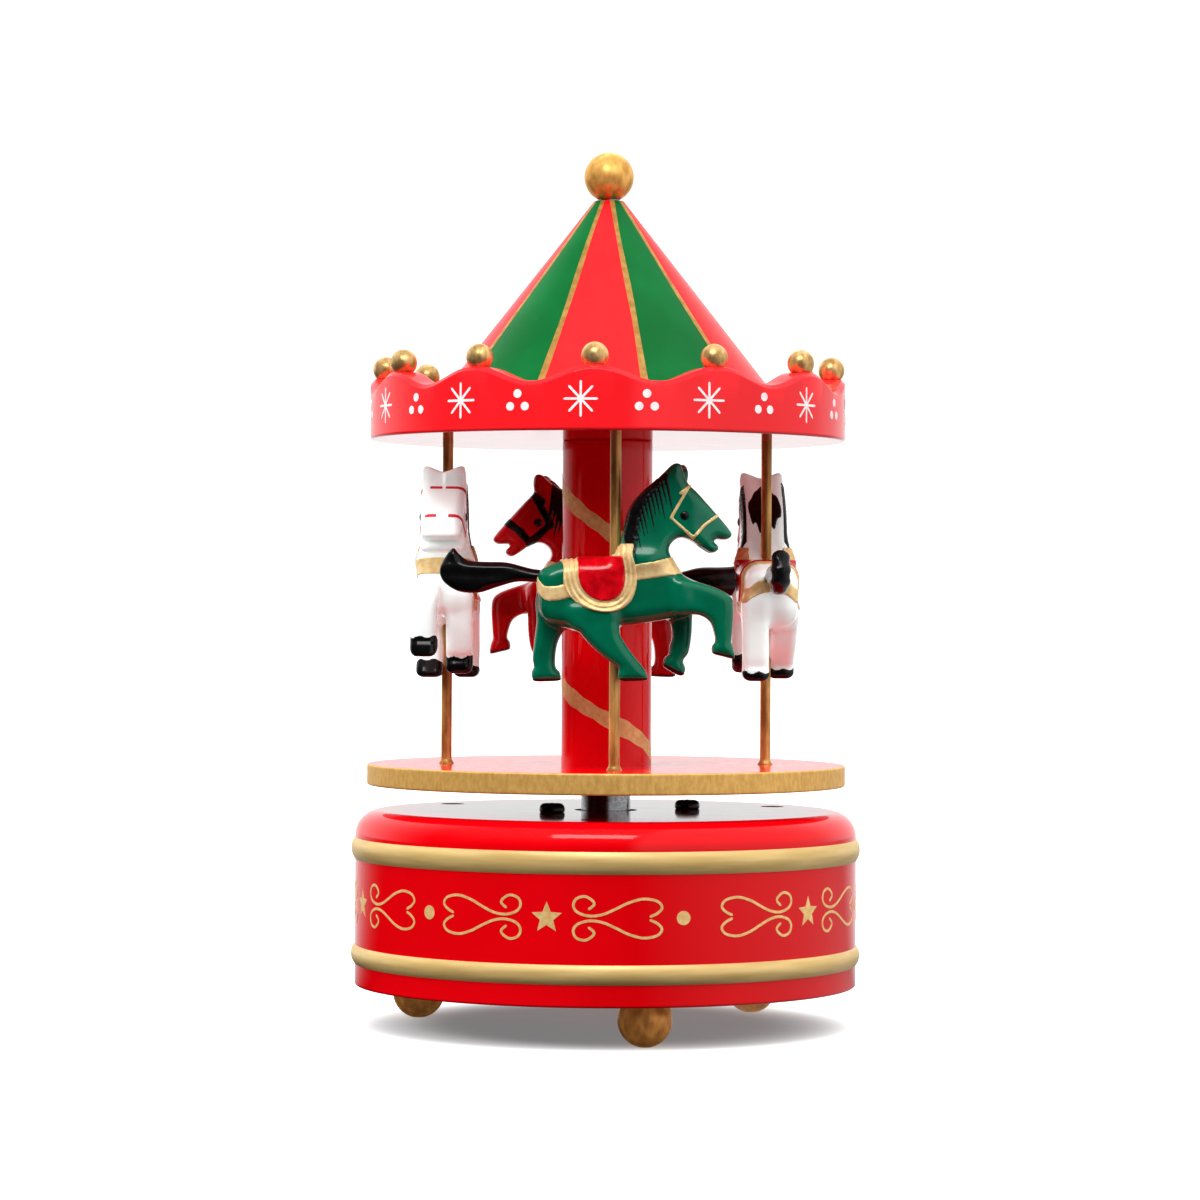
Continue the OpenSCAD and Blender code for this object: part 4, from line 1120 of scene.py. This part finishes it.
FLOOR_HALF = 6000
FLOOR_SHADE = 0.45
FLOOR_GLOW_WITH_PAINTED_SHADOW, PAINTED_SHADOW_R = (0.19, 0.6), (30, 62)    # under the object and out in the open; the weaker glow under the object paints a shadow there
FLOOR_BOUNCE = 0.1
BACK_GLOSS, SIDE_GLOSS, TOP_GLOSS = 0.85, 0.65, 0.25
LIGHT_LOW, LIGHT_HIGH = 0.08, 3.2
AT_HORSES, AT_CANOPY = (0, 0, 0.08), (0, 0, 0.125)


def grey(share):
    return (share, share, share, 1)


def add_floor():
    corners = [(x * FLOOR_HALF, y * FLOOR_HALF, 0) for x, y in ((-1, -1), (1, -1), (1, 1), (-1, 1))]
    floor = object_of("floor", (corners, [(0, 1, 2, 3)]))
    pale = bpy.data.materials.new("pale_floor")
    net = Net(pale)
    net.nodes.remove(net.nodes["Principled BSDF"])
    place = net.add("TexCoord").outputs["Object"]
    away = net.add("VectorMath", {0: place}, operation="LENGTH").outputs["Value"]
    way = net.add("SeparateXYZ", {0: net.add("VectorMath", {0: place}, operation="NORMALIZE")}).outputs
    near, far = (r * MM for r in PAINTED_SHADOW_R)
    # The floor's glow is weaker near the object than out in the open: a painted shadow round its foot.
    painted_glow = net.add("Emission", {"Strength": net.ramp(away, near, far, *FLOOR_GLOW_WITH_PAINTED_SHADOW)})
    seen = net.add("AddShader", {0: net.add("BsdfDiffuse", {"Color": grey(FLOOR_SHADE)}), 1: painted_glow})
    behind = net.ramp(way["Y"], 0.4, 1.1, 0, 1)
    right = net.ramp(way["X"], 0.23, 1.14, 0, SIDE_GLOSS, shape="LINEAR")
    mirrored = net.add("Emission", {"Strength": net.largest(behind, right)})
    bounced = net.add("BsdfDiffuse", {"Color": grey(FLOOR_BOUNCE)})
    net.fill(net.nodes["Material Output"], {"Surface": net.by_ray(seen, mirrored, bounced)})
    pale.cycles.emission_sampling = "NONE"
    floor.data.materials.append(pale)


def add_softbox(name, place, target, width, height, power, mirrored):
    """A light panel that faces its target, unseen by the camera, in metres and watts."""
    light = bpy.data.lights.new(name, "AREA")
    light.shape = "RECTANGLE"
    light.size, light.size_y, light.energy = width, height, power
    lamp = bpy.data.objects.new(name, light)
    bpy.context.scene.collection.objects.link(lamp)
    lamp.location = place
    lamp.rotation_mode = "QUATERNION"
    lamp.rotation_quaternion = (Vector(target) - Vector(place)).to_track_quat("-Z", "Y")
    lamp.visible_camera = False
    lamp.visible_glossy = mirrored


def add_world():
    """A white room lit from above. Gloss sees it bright behind and on the right, dim above, else dark."""
    world = bpy.data.worlds.new("room")
    bpy.context.scene.world = world
    net = Net(world)
    way = net.add("SeparateXYZ", {0: net.add("TexCoord").outputs["Generated"]}).outputs
    behind = net.ramp(way["Y"], -0.1, 0.7, 0, BACK_GLOSS)
    right = net.ramp(way["X"], 0.14, 0.3, 0, SIDE_GLOSS)
    above = net.ramp(way["Z"], 0.35, 0.9, 0, TOP_GLOSS)
    lit = net.ramp(way["Z"], 0.2, 1, LIGHT_LOW, LIGHT_HIGH)
    seen, mirrored, light = (net.add("Background", {"Color": grey(1), "Strength": strength})
                             for strength in (1, net.largest(behind, right, above), lit))
    net.fill(net.nodes["World Output"], {"Surface": net.by_ray(seen, mirrored, light)})


def add_camera():
    """The view from the front, at the horses' height and nearly level."""
    distance, height = 0.768, 0.08215
    yaw, pitch, roll = 0.103, 0.2014, 0.3
    camera = bpy.data.objects.new("camera", bpy.data.cameras.new("camera"))
    bpy.context.scene.collection.objects.link(camera)
    camera.data.sensor_width = 36
    camera.data.lens = 115.2
    camera.data.clip_start, camera.data.clip_end = 0.05, 50
    level = Matrix.Rotation(math.radians(90 + pitch), 4, "X")
    camera.matrix_world = Matrix.Translation((0, -distance, height)) @ turned_z(yaw) @ level @ turned_z(roll)
    bpy.context.scene.camera = camera


add_floor()
add_world()
add_softbox("key_box", (-0.97, -0.42, 0.56), AT_HORSES, width=0.4, height=0.32, power=4.8, mirrored=False)
add_softbox("right_box", (0.95, -0.25, 0.2), AT_HORSES, width=0.9, height=0.5, power=2.5, mirrored=False)
add_softbox("top_box", (-0.03, -0.26, 0.36), AT_CANOPY, width=0.22, height=0.12, power=0.38, mirrored=True)
add_camera()
view = bpy.context.scene.view_settings
view.view_transform = "Standard"
view.exposure = 0.3
view.gamma = 0.87
